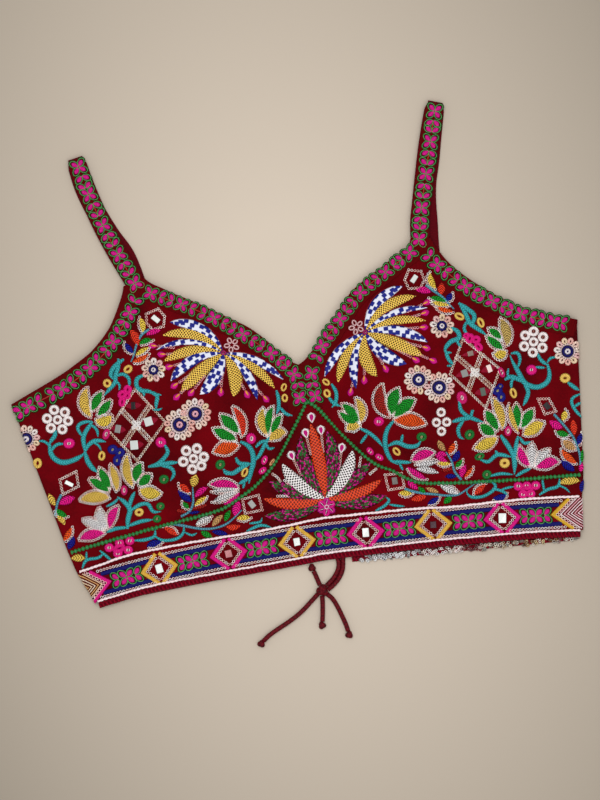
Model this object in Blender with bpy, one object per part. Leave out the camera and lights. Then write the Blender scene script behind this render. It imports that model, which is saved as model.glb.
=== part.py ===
"""A strappy choli blouse, laid out flat on its back: two domed cups, a midriff panel with a centre
gusset, a bordered hem band with a braid, folded shoulder straps, two tied back wings and their cords.

Lengths are in millimetres until MM turns them into metres. The tables are in pattern coordinates:
x to the right from the middle of the hem, y from the hem towards the straps, seen from above.
"""

import math

import bmesh
import bpy
from mathutils import Vector

MM = 0.001
# The middle of the blouse's box in pattern coordinates, which becomes the part's origin.
BOX_MIDDLE = (-10.2, 165.1)

# ---------------------------------------------------------------- driving dimensions
SEAM_GAP = 0.3
CLOTH = 1.8  # embroidered shell fabric with its backing
FRONT_LIFT = 3.2  # underside of the front above the surface, over the back wings and the ties
FRONT_MID = FRONT_LIFT + CLOTH / 2
TURN_UNDER = 6.0  # how far the front runs under, past the fold at the side
FOLD_RADIUS = FRONT_LIFT / 2
FOLD_REACH = FOLD_RADIUS + CLOTH / 2  # how far the fold stands out from where it starts
BORDER_WIDTH = 13.0
BORDER_CLOTH = 1.0
STRAP_WIDTH = 14.5
STRAP_CLOTH = 1.5
GREEN_CORD = 2.8
WHITE_PIPING = 2.0
BRAID_BEAD = 4.6  # length of one bead of the hem braid
BRAID_LOW, BRAID_HIGH = 1.3, 2.6
BRAID_WIDTH = 5.5
OPENING = 10.0  # half the gap between the back wings
TIE = 2.8  # diameter of the tie cords

# ---------------------------------------------------------------- lines of the front
# Each starts at the centre front. The first three points of the neckline and the underbust seam are
# the columns that bound the border down the centre.
NECK = {
    "left": [(-7.5, 155), (-9.2, 155.8), (-11, 157), (-20, 166.5), (-30, 178.5), (-40, 188), (-50, 195),
             (-60, 201.5), (-70, 208.5), (-80, 215), (-90, 221), (-100, 227.5), (-107, 232), (-112, 237)],
    "right": [(-7.5, 155), (-4.5, 156.4), (-1.5, 158.4), (10, 169.5), (20, 181), (30, 192.5), (40, 203),
              (50, 209.5), (60, 215), (70, 220.5), (80, 226), (87, 230), (90, 236)],
}
ARM = {
    "left": [(-128, 233), (-130, 227), (-134, 219), (-138.5, 211), (-144, 203), (-151, 195.5), (-160, 188),
             (-172, 181), (-185, 174.5), (-198, 169), (-212, 163.5), (-224.3, 158.5)],
    "right": [(104.5, 234), (107, 227), (110.5, 221), (115, 214), (121, 206.5), (130, 197.5), (140, 189),
              (150, 181), (160, 174.5), (170, 169.5), (180, 165), (190, 161.5), (203.8, 156.5)],
}
UNDERBUST = {
    "left": [(-7.5, 127), (-14, 116.4), (-20.5, 107), (-28, 96.5), (-36, 86.3), (-45, 77.5), (-55, 70),
             (-65, 64.5), (-75, 59.5), (-85, 56), (-97, 54.5), (-110, 53), (-130, 51), (-150, 48.5),
             (-170, 46), (-185, 44), (-199.5, 42)],
    "right": [(-7.5, 127), (-1, 121.5), (5.5, 112.8), (13, 102), (20, 93.5), (27, 85), (35, 76), (42, 70.5),
              (50, 66.5), (58, 60), (66, 55), (75, 52.5), (85, 51), (100, 49), (120, 47), (140, 45),
              (160, 43.5), (180, 42), (191, 41.3)],
}
BAND_TOP = {
    "left": [(-7.5, 38.7), (-30, 37.5), (-60, 36.3), (-100, 36), (-130, 35), (-150, 34), (-165, 32),
             (-180, 29), (-195.5, 27)],
    "right": [(-7.5, 38.7), (20, 37.5), (60, 35.3), (90, 32.3), (120, 31), (150, 29.2), (187.5, 25.5)],
}
BAND_BOTTOM = {
    "left": [(-7.5, 12.5), (-30, 11.8), (-60, 11), (-100, 10), (-130, 9), (-150, 7.6), (-170, 4.9),
             (-185.5, 3)],
    "right": [(-7.5, 12.5), (20, 11.6), (60, 10.2), (90, 8.6), (120, 6.5), (150, 4.3), (184.5, 0.4)],
}

# ---------------------------------------------------------------- lines of the straps and the back
# Each strap from the cup to its fold, and from the fold down to the back wing.
STRAP_UP = {
    "left": [(-125.5, 250), (-130.3, 262), (-136.6, 280), (-142.3, 300), (-146.5, 318), (-149, 332)],
    "right": [(98.6, 247), (102, 260), (107.3, 280), (112.8, 300), (118.5, 318), (123.6, 332.6)],
}
STRAP_DOWN = {
    "left": [(-149, 332), (-144, 311), (-137, 291), (-129.5, 272), (-124, 258), (-120.5, 245),
             (-117, 227), (-109, 190), (-98, 150), (-92.5, 125), (-92, 108.8)],
    "right": [(123.6, 332.6), (117.5, 309), (113, 291), (108.6, 276), (106.2, 262), (104.8, 245),
              (103.2, 228), (101, 190), (98.5, 150), (96.3, 125), (96, 108.8)],
}
BACK_TOP = {
    "left": [(-10, 72), (-30, 80), (-50, 93), (-68, 104), (-82, 108.5), (-102, 108.5), (-120, 111),
             (-145, 117), (-175, 128), (-200, 143)],
    "right": [(10, 72), (30, 80), (52, 93), (72, 104), (86, 108.5), (106, 108.5), (122, 111),
              (145, 118), (168, 129), (186, 143)],
}
# Heights of the back's cross seams and hem, at the centre opening and at the side.
BACK_LEVELS = {
    "left": {"band_top": (36, 26.5), "band_bottom": (12.5, 5), "hem": (8.5, 1)},
    "right": {"band_top": (34, 22.5), "band_bottom": (7, -2.3), "hem": (2.6, -6.6)},
}

# ---------------------------------------------------------------- relief of the front
# A cup's dome: its crown, its height and how far it spreads each way.
CUPS = [
    {"x": -87.0, "y": 122.0, "height": 31.0, "left": 84.0, "right": 68.0, "up": 96.0, "down": 68.0},
    {"x": 84.0, "y": 122.0, "height": 31.0, "left": 76.0, "right": 84.0, "up": 96.0, "down": 69.0},
]
# A soft trough (depth above 0) or ridge (below 0): its middle, its bearing from +x, half its length and
# half its width.
CREASES = [
    {"x": -92, "y": 84, "bearing": 92, "reach": 36, "spread": 8, "depth": 2.4},  # dart of the left cup
    {"x": 85, "y": 82, "bearing": 89, "reach": 36, "spread": 8, "depth": 2.4},  # dart of the right cup
    {"x": -150, "y": 132, "bearing": 28, "reach": 44, "spread": 9, "depth": 2.0},
    {"x": -172, "y": 92, "bearing": 74, "reach": 38, "spread": 9, "depth": -1.6},
    {"x": 158, "y": 128, "bearing": 148, "reach": 42, "spread": 9, "depth": 1.9},
    {"x": 168, "y": 84, "bearing": 98, "reach": 40, "spread": 9, "depth": -1.8},
    {"x": 128, "y": 70, "bearing": 120, "reach": 30, "spread": 8, "depth": 1.4},
    {"x": -128, "y": 66, "bearing": 62, "reach": 30, "spread": 8, "depth": 1.5},
    {"x": -8, "y": 84, "bearing": 90, "reach": 46, "spread": 18, "depth": -2.2},  # gusset stands proud
]


def cup_rise(x, y, cup):
    across = (x - cup["x"]) / (cup["right"] if x > cup["x"] else cup["left"])
    along = (y - cup["y"]) / (cup["up"] if y > cup["y"] else cup["down"])
    outside = across * across + along * along
    return cup["height"] * (1 - outside) ** 2 if outside < 1 else 0.0


def crease_drop(x, y, crease):
    turn = math.radians(crease["bearing"])
    dx, dy = x - crease["x"], y - crease["y"]
    along = (dx * math.cos(turn) + dy * math.sin(turn)) / crease["reach"]
    across = (dy * math.cos(turn) - dx * math.sin(turn)) / crease["spread"]
    if abs(along) >= 1:
        return 0.0
    return crease["depth"] * (1 - along * along) ** 2 * math.exp(-across * across)


def front_height(x, y):
    """Height of the middle of the front's cloth above the surface it lies on."""
    rise = sum(cup_rise(x, y, cup) for cup in CUPS)
    drop = sum(crease_drop(x, y, crease) for crease in CREASES)
    return FRONT_MID + max(rise - drop, 0.0)


def front_at(x, y):
    """The middle of the front's cloth at (x, y), and the direction out of it."""
    step = 0.5
    slope_x = (front_height(x + step, y) - front_height(x - step, y)) / (2 * step)
    slope_y = (front_height(x, y + step) - front_height(x, y - step)) / (2 * step)
    return Vector((x, y, front_height(x, y))), Vector((-slope_x, -slope_y, 1)).normalized()


# ---------------------------------------------------------------- paths in the plane
def spread(points, count):
    """count points at equal distances along the smooth curve through these points."""
    fine = []
    ends = [points[0], *points, points[-1]]
    for a, b, c, d in zip(ends, ends[1:], ends[2:], ends[3:]):
        for k in range(16):
            t = k / 16
            fine.append(tuple(
                q + 0.5 * t * (r - p + t * (2 * p - 5 * q + 4 * r - s + t * (3 * (q - r) + s - p)))
                for p, q, r, s in zip(a, b, c, d)
            ))
    fine.append(tuple(points[-1]))
    lengths = [0.0]
    for a, b in zip(fine, fine[1:]):
        lengths.append(lengths[-1] + math.dist(a, b))
    result, k = [], 0
    for i in range(count):
        target = lengths[-1] * i / (count - 1)
        while k < len(fine) - 2 and lengths[k + 1] < target:
            k += 1
        share = (target - lengths[k]) / max(lengths[k + 1] - lengths[k], 1e-9)
        result.append(between(fine[k], fine[k + 1], share))
    return result


def beside(path, distance):
    """The path moved to its left by a distance, in the plane."""
    moved = []
    for i, (x, y) in enumerate(path):
        before, after = path[max(i - 1, 0)], path[min(i + 1, len(path) - 1)]
        dx, dy = after[0] - before[0], after[1] - before[1]
        length = math.hypot(dx, dy)
        moved.append((x - dy / length * distance, y + dx / length * distance))
    return moved


def between(a, b, share):
    return tuple(p + (q - p) * share for p, q in zip(a, b))


# ---------------------------------------------------------------- making solids
def finish(thing, colour, roughness=0.8):
    """Gives an object its own material and moves it into the part's frame."""
    material = bpy.data.materials.new(thing.name)
    material.use_nodes = True
    shader = material.node_tree.nodes["Principled BSDF"]
    shader.inputs["Base Color"].default_value = (*colour, 1)
    shader.inputs["Roughness"].default_value = roughness
    thing.data.materials.append(material)
    thing.location = (-BOX_MIDDLE[0] * MM, -BOX_MIDDLE[1] * MM, 0)


def add_mesh(name, bm, colour):
    mesh = bpy.data.meshes.new(name)
    bm.to_mesh(mesh)
    bm.free()
    mesh.set_sharp_from_angle(angle=math.radians(40))
    thing = bpy.data.objects.new(name, mesh)
    bpy.context.scene.collection.objects.link(thing)
    finish(thing, colour)


def wall(name, grid, low, high, colour, blocks=None, inset=0.0):
    """A closed wall on a grid of (middle, outward) pairs, from low to high above its middle.

    blocks are the ranges of the grid's cells that it covers, as (columns from, to, rows from, to), and
    inset is how far its edge is held back from theirs.
    """
    columns, rows = len(grid) - 1, len(grid[0]) - 1
    bm = bmesh.new()
    bmesh.ops.create_grid(bm, x_segments=columns, y_segments=rows, size=0.5)
    bmesh.ops.triangulate(bm, faces=bm.faces[:], quad_method="FIXED")
    if blocks:
        outside = []
        for face in bm.faces:
            spot = face.calc_center_median()
            column, row = (spot.x + 0.5) * columns, (spot.y + 0.5) * rows
            if not any(a < column < b and c < row < d for a, b, c, d in blocks):
                outside.append(face)
        bmesh.ops.delete(bm, geom=outside, context="FACES")
    outward = bm.verts.layers.float_vector.new("outward")
    for vert in bm.verts:
        middle, facing = grid[round((vert.co.x + 0.5) * columns)][round((vert.co.y + 0.5) * rows)]
        vert.co = middle * MM
        vert[outward] = facing * MM
    if inset:
        bm.normal_update()
        rim = bmesh.ops.inset_region(bm, faces=bm.faces[:], thickness=inset * MM, use_boundary=True)
        bmesh.ops.delete(bm, geom=rim["faces"], context="FACES")
    for vert in bm.verts:
        vert.co += vert[outward] * low
    lifted = bmesh.ops.extrude_face_region(bm, geom=bm.faces[:], use_keep_orig=True)
    for item in lifted["geom"]:
        if isinstance(item, bmesh.types.BMVert):
            item.co += item[outward] * (high - low)
    bmesh.ops.recalc_face_normals(bm, faces=bm.faces[:])
    add_mesh(name, bm, colour)


def tube(name, points, diameter, colour, resolution=1):
    """A round cord through these points, with closed ends."""
    curve = bpy.data.curves.new(name, "CURVE")
    curve.dimensions = "3D"
    curve.bevel_depth = diameter / 2 * MM
    curve.bevel_resolution = resolution
    curve.use_fill_caps = True
    spline = curve.splines.new("POLY")
    spline.points.add(len(points) - 1)
    for target, point in zip(spline.points, points):
        target.co = (*(c * MM for c in point), 1)
    thing = bpy.data.objects.new(name, curve)
    bpy.context.scene.collection.objects.link(thing)
    finish(thing, colour)


MAROON = (0.19, 0.006, 0.012)
DEEP_MAROON = (0.11, 0.006, 0.012)
BORDER_COLOUR = (0.42, 0.02, 0.16)
GREEN = (0.012, 0.13, 0.03)
WHITE = (0.72, 0.6, 0.58)
BAND_COLOUR = (0.16, 0.01, 0.06)

# ---------------------------------------------------------------- the front, one grid cut into pieces
CENTRE_COLUMNS = 2  # cells across the border down the centre, on each side
NECK_COLUMNS = 12
ARM_COLUMNS = 12
FOLD_DEGREES = (36, 72, 108, 144, 180)
BAND_ROWS, MIDRIFF_ROWS, CUP_ROWS, BORDER_ROWS = 2, 6, 10, 2


def tucked(point, inner, distance):
    """The point moved towards another one by a distance."""
    return between(point, inner, distance / math.dist(point, inner))


def half_front(hand):
    """The columns of one half, from the centre to where the side fold starts, each from the hem up."""
    seam = UNDERBUST[hand][:2] + spread(UNDERBUST[hand][2:], NECK_COLUMNS + ARM_COLUMNS)
    edge = NECK[hand][:2] + spread(NECK[hand][2:], NECK_COLUMNS) + spread(ARM[hand], ARM_COLUMNS)
    count = len(seam)
    band_top, band_bottom = spread(BAND_TOP[hand], count), spread(BAND_BOTTOM[hand], count)
    inward = BORDER_WIDTH if hand == "left" else -BORDER_WIDTH
    inner = beside(edge, inward)
    corner_y = inner[CENTRE_COLUMNS][1]
    for i in range(CENTRE_COLUMNS + 1):
        inner[i] = (seam[i][0], corner_y)
    for line in (band_bottom, band_top, seam, edge):
        line[-1] = tucked(line[-1], (0, line[-1][1]), FOLD_REACH)
    inner[-1] = tucked(edge[-1], seam[-1], BORDER_WIDTH)
    columns = []
    for lines in zip(band_bottom, band_top, seam, inner, edge):
        column = []
        for low, high, rows in zip(lines, lines[1:], (BAND_ROWS, MIDRIFF_ROWS, CUP_ROWS, BORDER_ROWS)):
            column += [between(low, high, j / rows) for j in range(rows)]
        columns.append(column + [lines[-1]])
    return columns


def side_fold(side):
    """The columns that carry the front round its side and a little way under, as (middle, outward)."""
    columns = [[] for _ in range(len(FOLD_DEGREES) + 1)]
    for k, (x, y) in enumerate(side):
        below, above = side[max(k - 1, 0)], side[min(k + 1, len(side) - 1)]
        across = Vector((above[1] - below[1], below[0] - above[0], 0)).normalized()
        if across.x * x < 0:
            across.negate()
        for column, degrees in zip(columns, FOLD_DEGREES):
            turn = math.radians(degrees)
            facing = across * math.sin(turn) + Vector((0, 0, math.cos(turn)))
            column.append((Vector((x, y, FRONT_MID - FOLD_RADIUS)) + facing * FOLD_RADIUS, facing))
        last, facing = columns[-2][-1]
        columns[-1].append((last - across * TURN_UNDER, facing))
    return columns


def front_grid():
    left, right = half_front("left"), half_front("right")
    flat = left[::-1] + right[1:]
    middle = [[front_at(*point) for point in column] for column in flat]
    return side_fold(left[-1])[::-1] + middle + side_fold(right[-1])


FOLD_COLUMNS = len(FOLD_DEGREES) + 1
CENTRE = FOLD_COLUMNS + CENTRE_COLUMNS + NECK_COLUMNS + ARM_COLUMNS - 1
LAST = 2 * CENTRE
CORNER = CENTRE_COLUMNS + NECK_COLUMNS  # columns from the centre to the strap's outer corner
SEAM_ROW = BAND_ROWS + MIDRIFF_ROWS
BORDER_ROW = SEAM_ROW + CUP_ROWS
TOP_ROW = BORDER_ROW + BORDER_ROWS
CENTRE_FOOT = SEAM_ROW + 2  # the border down the centre stops above the underbust cord

FRONT_PIECES = [
    {"name": "front_cup_left", "blocks": [(0, CENTRE, SEAM_ROW, TOP_ROW)]},
    {"name": "front_cup_right", "blocks": [(CENTRE, LAST, SEAM_ROW, TOP_ROW)]},
    {"name": "front_midriff", "blocks": [(0, LAST, BAND_ROWS, SEAM_ROW)]},
    {"name": "front_hem_band", "blocks": [(0, LAST, 0, BAND_ROWS)]},
]
BORDERS = [
    {"name": "border_neck_left", "blocks": [(CENTRE - CORNER, CENTRE, BORDER_ROW, TOP_ROW),
                                            (CENTRE - CENTRE_COLUMNS, CENTRE, CENTRE_FOOT, TOP_ROW)]},
    {"name": "border_neck_right", "blocks": [(CENTRE, CENTRE + CORNER, BORDER_ROW, TOP_ROW),
                                             (CENTRE, CENTRE + CENTRE_COLUMNS, CENTRE_FOOT, TOP_ROW)]},
    {"name": "border_arm_left", "blocks": [(FOLD_COLUMNS, CENTRE - CORNER, BORDER_ROW, TOP_ROW)]},
    {"name": "border_arm_right", "blocks": [(CENTRE + CORNER, LAST - FOLD_COLUMNS, BORDER_ROW, TOP_ROW)]},
]
SEAM_CORDS = [
    {"name": "underbust_cord_left", "columns": (FOLD_COLUMNS, CENTRE), "row": SEAM_ROW, "size": GREEN_CORD},
    {"name": "underbust_cord_right", "columns": (CENTRE + 1, LAST - FOLD_COLUMNS), "row": SEAM_ROW,
     "size": GREEN_CORD},
    {"name": "band_piping_upper", "columns": (FOLD_COLUMNS, LAST - FOLD_COLUMNS), "row": BAND_ROWS,
     "size": WHITE_PIPING},
    {"name": "band_piping_lower", "columns": (FOLD_COLUMNS, LAST - FOLD_COLUMNS), "row": 0,
     "size": WHITE_PIPING},
]


def front():
    grid = front_grid()
    for piece in FRONT_PIECES:
        colour = BAND_COLOUR if piece["name"] == "front_hem_band" else MAROON
        wall(piece["name"], grid, -CLOTH / 2, CLOTH / 2, colour, piece["blocks"], SEAM_GAP / 2)
    low = CLOTH / 2 + SEAM_GAP
    for piece in BORDERS:
        wall(piece["name"], grid, low, low + BORDER_CLOTH, BORDER_COLOUR, piece["blocks"], SEAM_GAP / 2)
    for cord in SEAM_CORDS:
        first, last = cord["columns"]
        along = [grid[i][cord["row"]] for i in range(first, last + 1)]
        points = [middle + outward * (low + cord["size"] / 2) for middle, outward in along]
        tube(cord["name"], points, cord["size"], GREEN if cord["size"] == GREEN_CORD else WHITE)


def hem_braid():
    """The braid below the band: a flat strip whose outer points stand up in beads."""
    bottom = BAND_BOTTOM["left"][:0:-1] + BAND_BOTTOM["right"]
    for end, inner in ((0, 1), (-1, -2)):
        bottom[end] = tucked(bottom[end], bottom[inner], FOLD_REACH + SEAM_GAP)
    length = sum(math.dist(a, b) for a, b in zip(bottom, bottom[1:]))
    beads = round(length / BRAID_BEAD)
    top = beside(spread(bottom, 2 * beads + 1), -SEAM_GAP)
    bm = bmesh.new()
    bmesh.ops.create_grid(bm, x_segments=2 * beads, y_segments=2, size=0.5)
    spots = {}
    for vert in bm.verts:
        i, j = round((vert.co.x + 0.5) * 2 * beads), round((vert.co.y + 0.5) * 2)
        x, y = top[i]
        middle, outward = front_at(x, y - BRAID_WIDTH * (1 - j / 2))
        vert.co = (middle - outward * CLOTH / 2) * MM
        spots[vert.index] = outward * MM * (BRAID_HIGH if j == 1 and i % 2 else BRAID_LOW)
    bm.verts.ensure_lookup_table()
    rise = bm.verts.layers.float_vector.new("rise")
    for vert in bm.verts:
        vert[rise] = spots[vert.index]
    lifted = bmesh.ops.extrude_face_region(bm, geom=bm.faces[:], use_keep_orig=True)
    for item in lifted["geom"]:
        if isinstance(item, bmesh.types.BMVert):
            item.co += item[rise]
    bmesh.ops.recalc_face_normals(bm, faces=bm.faces[:])
    add_mesh("hem_braid_front", bm, DEEP_MAROON)


# ---------------------------------------------------------------- straps
def strap(hand):
    """A strap: from the cup up to its fold, over, and down beneath the front to the back wing."""
    sign = -1 if hand == "left" else 1
    low, fold = STRAP_CLOTH / 2, (STRAP_CLOTH + SEAM_GAP) / 2
    high = low + 2 * fold
    corners = [NECK[hand][-1], ARM[hand][0]]
    if hand == "left":
        corners.reverse()
    start = between(*corners, 0.5)
    lift = Vector((corners[0][1] - corners[1][1], corners[1][0] - corners[0][0])).normalized() * SEAM_GAP
    up = spread([(start[0] + lift.x, start[1] + lift.y), *STRAP_UP[hand]], 14)
    down = spread(STRAP_DOWN[hand], 26)
    forward = (Vector(up[-1]) - Vector(up[-2])).normalized().to_3d()
    stations = []
    for i, (x, y) in enumerate(up):
        before, after = Vector(up[max(i - 1, 0)]), Vector(up[min(i + 1, len(up) - 1)])
        along = (after - before).normalized()
        height = FRONT_MID + (high - FRONT_MID) * min(1, i / 4)
        across = Vector((along.y, -along.x, 0)) * STRAP_WIDTH / 2
        stations.append((Vector((x, y, height)), across, Vector((0, 0, 1))))
    seam = Vector((corners[1][0] - corners[0][0], corners[1][1] - corners[0][1], 0)) / 2
    stations[0] = (stations[0][0], seam, Vector((0, 0, 1)))
    top = Vector((*up[-1], low + fold))
    for degrees in (45, 90, 135):
        turn = math.radians(degrees)
        facing = forward * math.sin(turn) + Vector((0, 0, math.cos(turn)))
        stations.append((top + facing * fold, stations[len(up) - 1][1], facing))
    for i, (x, y) in enumerate(down):
        before, after = Vector(down[max(i - 1, 0)]), Vector(down[min(i + 1, len(down) - 1)])
        along = (before - after).normalized()
        across = Vector((along.y, -along.x, 0)) * STRAP_WIDTH / 2
        stations.append((Vector((x, y, low)), across, Vector((0, 0, -1))))
    grid = [[(middle + across * side, facing) for side in (-1, 0, 1)] for middle, across, facing in stations]
    wall(f"strap_{hand}", grid, -STRAP_CLOTH / 2, STRAP_CLOTH / 2, BORDER_COLOUR)


# ---------------------------------------------------------------- back
def flat_panel(name, bottom, top, rows, colour, inset=SEAM_GAP / 2):
    """A panel of the back, flat on the surface between two paths."""
    up = Vector((0, 0, 1))
    grid = [[(Vector((*between(low, high, j / rows), 0)), up) for j in range(rows + 1)]
            for low, high in zip(bottom, top)]
    wall(name, grid, 0, CLOTH, colour, inset=inset)


def back_side_x(hand, y):
    """Where a back wing meets the front's turned-under lip at a height."""
    outline = [line[hand][-1] for line in (BAND_BOTTOM, BAND_TOP, UNDERBUST, ARM)]
    for low, high in zip(outline, outline[1:]):
        if y < high[1] or high is outline[-1]:
            x = low[0] + (high[0] - low[0]) * (y - low[1]) / (high[1] - low[1])
            return x - math.copysign(FOLD_REACH + TURN_UNDER + SEAM_GAP, x)


def back(hand):
    columns = 14
    sign = -1 if hand == "left" else 1
    lines = {}
    for name, (centre_y, side_y) in BACK_LEVELS[hand].items():
        ends = (sign * OPENING, centre_y), (back_side_x(hand, side_y), side_y)
        lines[name] = ends
    top = BACK_TOP[hand][:-1] + [(back_side_x(hand, BACK_TOP[hand][-1][1]), BACK_TOP[hand][-1][1])]
    flat_panel(f"back_wing_{hand}", spread(lines["band_top"], columns), spread(top, columns), 5, MAROON)
    flat_panel(f"back_hem_band_{hand}", spread(lines["band_bottom"], columns),
               spread(lines["band_top"], columns), 1, BAND_COLOUR)
    beads = round(math.dist(*lines["hem"]) / BRAID_BEAD)
    hem = spread(lines["hem"], 2 * beads + 1)
    scallop = [(x, y + (0.8 if i % 2 == 0 else 0)) for i, (x, y) in enumerate(hem)]
    flat_panel(f"back_hem_braid_{hand}", scallop, spread(lines["band_bottom"], 2 * beads + 1), 1, DEEP_MAROON)


# ---------------------------------------------------------------- ties
TAB_WIDTH, TAB_LOW, TAB_HIGH = 6.0, 50.0, 60.0  # a folded cloth tab on each back wing
TIE_Z = TIE / 2 + 0.05
# Each stretch of tie cord, from where it starts to where it stops.
TIE_RUNS = {
    "tie_run_left": [(-6.7, 49.6), (-6.7, 42), (-6.2, 32), (-5, 21), (-3.4, 12), (-1.6, 4.5), (-2.6, -1),
                     (-6.6, -6), (-12, -11)],
    "tie_run_right": [(6.7, 49.6), (6.7, 42), (6.4, 31), (5.6, 21), (4.4, 12), (3, 4.5), (1.6, -2),
                      (-2.2, -8), (-7.2, -12.4), (-11.6, -15)],
    "tie_tail_long": [(-19.4, -17), (-26, -22.4), (-34, -28.6), (-43, -33.8), (-52, -38), (-60, -42),
                      (-65, -45.6)],
    "tie_tail_short": [(-16.4, -19), (-17, -25), (-18, -31.5), (-19.2, -38)],
    "tie_tail_side": [(-12.6, -18), (-9, -22.4), (-6.2, -29), (-4, -36), (-2, -43.4), (-1.3, -48)],
    "tie_tail_up": [(-16.9, -10.6), (-18, -6.5), (-19, -2.5), (-20, 0.4)],
}
TIE_KNOTS = [
    {"name": "tie_knot", "x": -15.6, "y": -14.8, "radius": 3.7, "height": 5.0},
    {"name": "tie_end_long", "x": -67, "y": -47.4, "radius": 2.4, "height": 4.2},
    {"name": "tie_end_short", "x": -19.8, "y": -40.8, "radius": 2.4, "height": 4.2},
    {"name": "tie_end_side", "x": -0.9, "y": -50.8, "radius": 2.4, "height": 4.2},
    {"name": "tie_end_up", "x": -20.8, "y": 3.1, "radius": 2.4, "height": 4.2},
]


def knot(name, x, y, radius, height):
    """A knot pulled tight, flat below."""
    bm = bmesh.new()
    bmesh.ops.create_uvsphere(bm, u_segments=12, v_segments=8, radius=1)
    for vert in bm.verts:
        rise = max(0.38 + 0.62 * vert.co.z, 0.0) * height
        vert.co = Vector((x + vert.co.x * radius, y + vert.co.y * radius, rise)) * MM
    bmesh.ops.remove_doubles(bm, verts=bm.verts[:], dist=0.01 * MM)
    add_mesh(name, bm, DEEP_MAROON)


def ties():
    for hand, sign in (("left", -1), ("right", 1)):
        outer, inner = sign * OPENING, sign * (OPENING - TAB_WIDTH)
        flat_panel(f"tie_tab_{hand}", [(outer, TAB_LOW), (inner, TAB_LOW)],
                   [(outer, TAB_HIGH), (inner, TAB_HIGH)], 1, DEEP_MAROON)
    for name, line in TIE_RUNS.items():
        length = sum(math.dist(a, b) for a, b in zip(line, line[1:]))
        points = spread(line, round(length / (2 * TIE)) + 2)
        tube(name, [(x, y, TIE_Z) for x, y in points], TIE, DEEP_MAROON, resolution=2)
    for row in TIE_KNOTS:
        knot(**row)


# ---------------------------------------------------------------- the blouse
for old in list(bpy.data.objects):
    bpy.data.objects.remove(old)

front()
hem_braid()
for hand in ("left", "right"):
    strap(hand)
    back(hand)
ties()
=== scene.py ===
"""The looks of a strappy embroidered choli blouse, laid out flat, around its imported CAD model.

Pattern coordinates are in millimetres, as the pieces are cut: x to the right from the middle of the
hem, y from the hem towards the straps, and z out of the cloth. Each piece is drawn flat in them and
then laid where it belongs, in the part's frame in metres.
"""

import math

import bmesh
import bpy
import numpy as np
from mathutils import Matrix, Vector


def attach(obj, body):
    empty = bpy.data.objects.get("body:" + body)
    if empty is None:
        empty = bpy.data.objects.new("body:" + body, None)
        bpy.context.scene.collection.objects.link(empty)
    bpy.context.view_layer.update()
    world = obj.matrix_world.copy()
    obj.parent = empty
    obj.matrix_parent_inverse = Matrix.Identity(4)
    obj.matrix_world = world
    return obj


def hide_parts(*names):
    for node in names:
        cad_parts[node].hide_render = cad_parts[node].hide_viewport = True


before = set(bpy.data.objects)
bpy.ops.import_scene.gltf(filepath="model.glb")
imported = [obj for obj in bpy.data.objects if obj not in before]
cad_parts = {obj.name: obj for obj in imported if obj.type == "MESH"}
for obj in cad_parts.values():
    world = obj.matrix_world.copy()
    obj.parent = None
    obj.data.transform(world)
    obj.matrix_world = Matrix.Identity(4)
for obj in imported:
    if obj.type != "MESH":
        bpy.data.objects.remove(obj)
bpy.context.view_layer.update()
MM = 0.001


# ================================================================ the room
# A matt plaster floor, painted a little darker towards its edges as the shade of the light's falloff,
# lit by a wide soft box at the upper left and a weaker one at the lower right, under an even white sky.
def linear(code):
    """An sRGB hex colour as linear red, green, blue and alpha."""
    channels = [int(code[i:i + 2], 16) / 255 for i in (1, 3, 5)]
    return (*(c / 12.92 if c <= 0.04045 else ((c + 0.055) / 1.055) ** 2.4 for c in channels), 1.0)


def result(node):
    """The socket that gives a node's result."""
    return next(socket for socket in node.outputs if socket.enabled)


def add(tree, kind, inputs=None, feeds=None, stops=None, **settings):
    """Adds a node with its settings, the colours of its ramp, and the shader's input that it feeds.

    Each of its own inputs is a value, a hex colour, a socket, or a node that gives its result.
    """
    made = tree.nodes.new(kind)
    for name, value in settings.items():
        setattr(made, name, value)
    for key, value in (inputs or {}).items():
        if isinstance(value, bpy.types.Node):
            value = result(value)
        if isinstance(value, bpy.types.NodeSocket):
            tree.links.new(value, made.inputs[key])
        else:
            made.inputs[key].default_value = linear(value) if isinstance(value, str) else value
    if stops:
        for element, place in zip(made.color_ramp.elements, stops):
            element.position = place
            element.color = linear(stops[place])
    if feeds:
        tree.links.new(result(made), tree.nodes["Principled BSDF"].inputs[feeds])
    return made


def new_finish(name, **shader_inputs):
    """A material and its node tree, with the inputs of its Principled shader set by name."""
    finish = bpy.data.materials.new(name)
    finish.use_nodes = True
    for key, value in shader_inputs.items():
        finish.node_tree.nodes["Principled BSDF"].inputs[key.replace("_", " ")].default_value = value
    return finish, finish.node_tree


FRAME_HEIGHT = 0.6  # what the camera takes in from top to bottom at the floor
CAMERA_HEIGHT = 2.5
CAMERA_SPOT = (-0.0002, -0.0364)
CAMERA_TURN = math.radians(-8.8)
SENSOR = 24.0

bpy.ops.mesh.primitive_plane_add(size=6, location=(0, 0, -0.0004))
floor = bpy.context.object
floor.name = "floor"
plaster, tree = new_finish("matt plaster", Roughness=0.9)
spot = add(tree, "ShaderNodeTexCoord").outputs["Object"]
spot = add(tree, "ShaderNodeMapping", {"Vector": spot, "Location": (0.0, 0.03, 0), "Scale": (2.7, 1.75, 1)})
away = add(tree, "ShaderNodeTexGradient", {"Vector": spot}, gradient_type="SPHERICAL")
# The ramp paints shade: darker towards the edges, where the light falls off.
add(tree, "ShaderNodeValToRGB", {"Fac": away.outputs["Fac"]}, "Base Color", {0: "#8e8476", 0.8: "#cdbfae"})
floor.data.materials.append(plaster)

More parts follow.
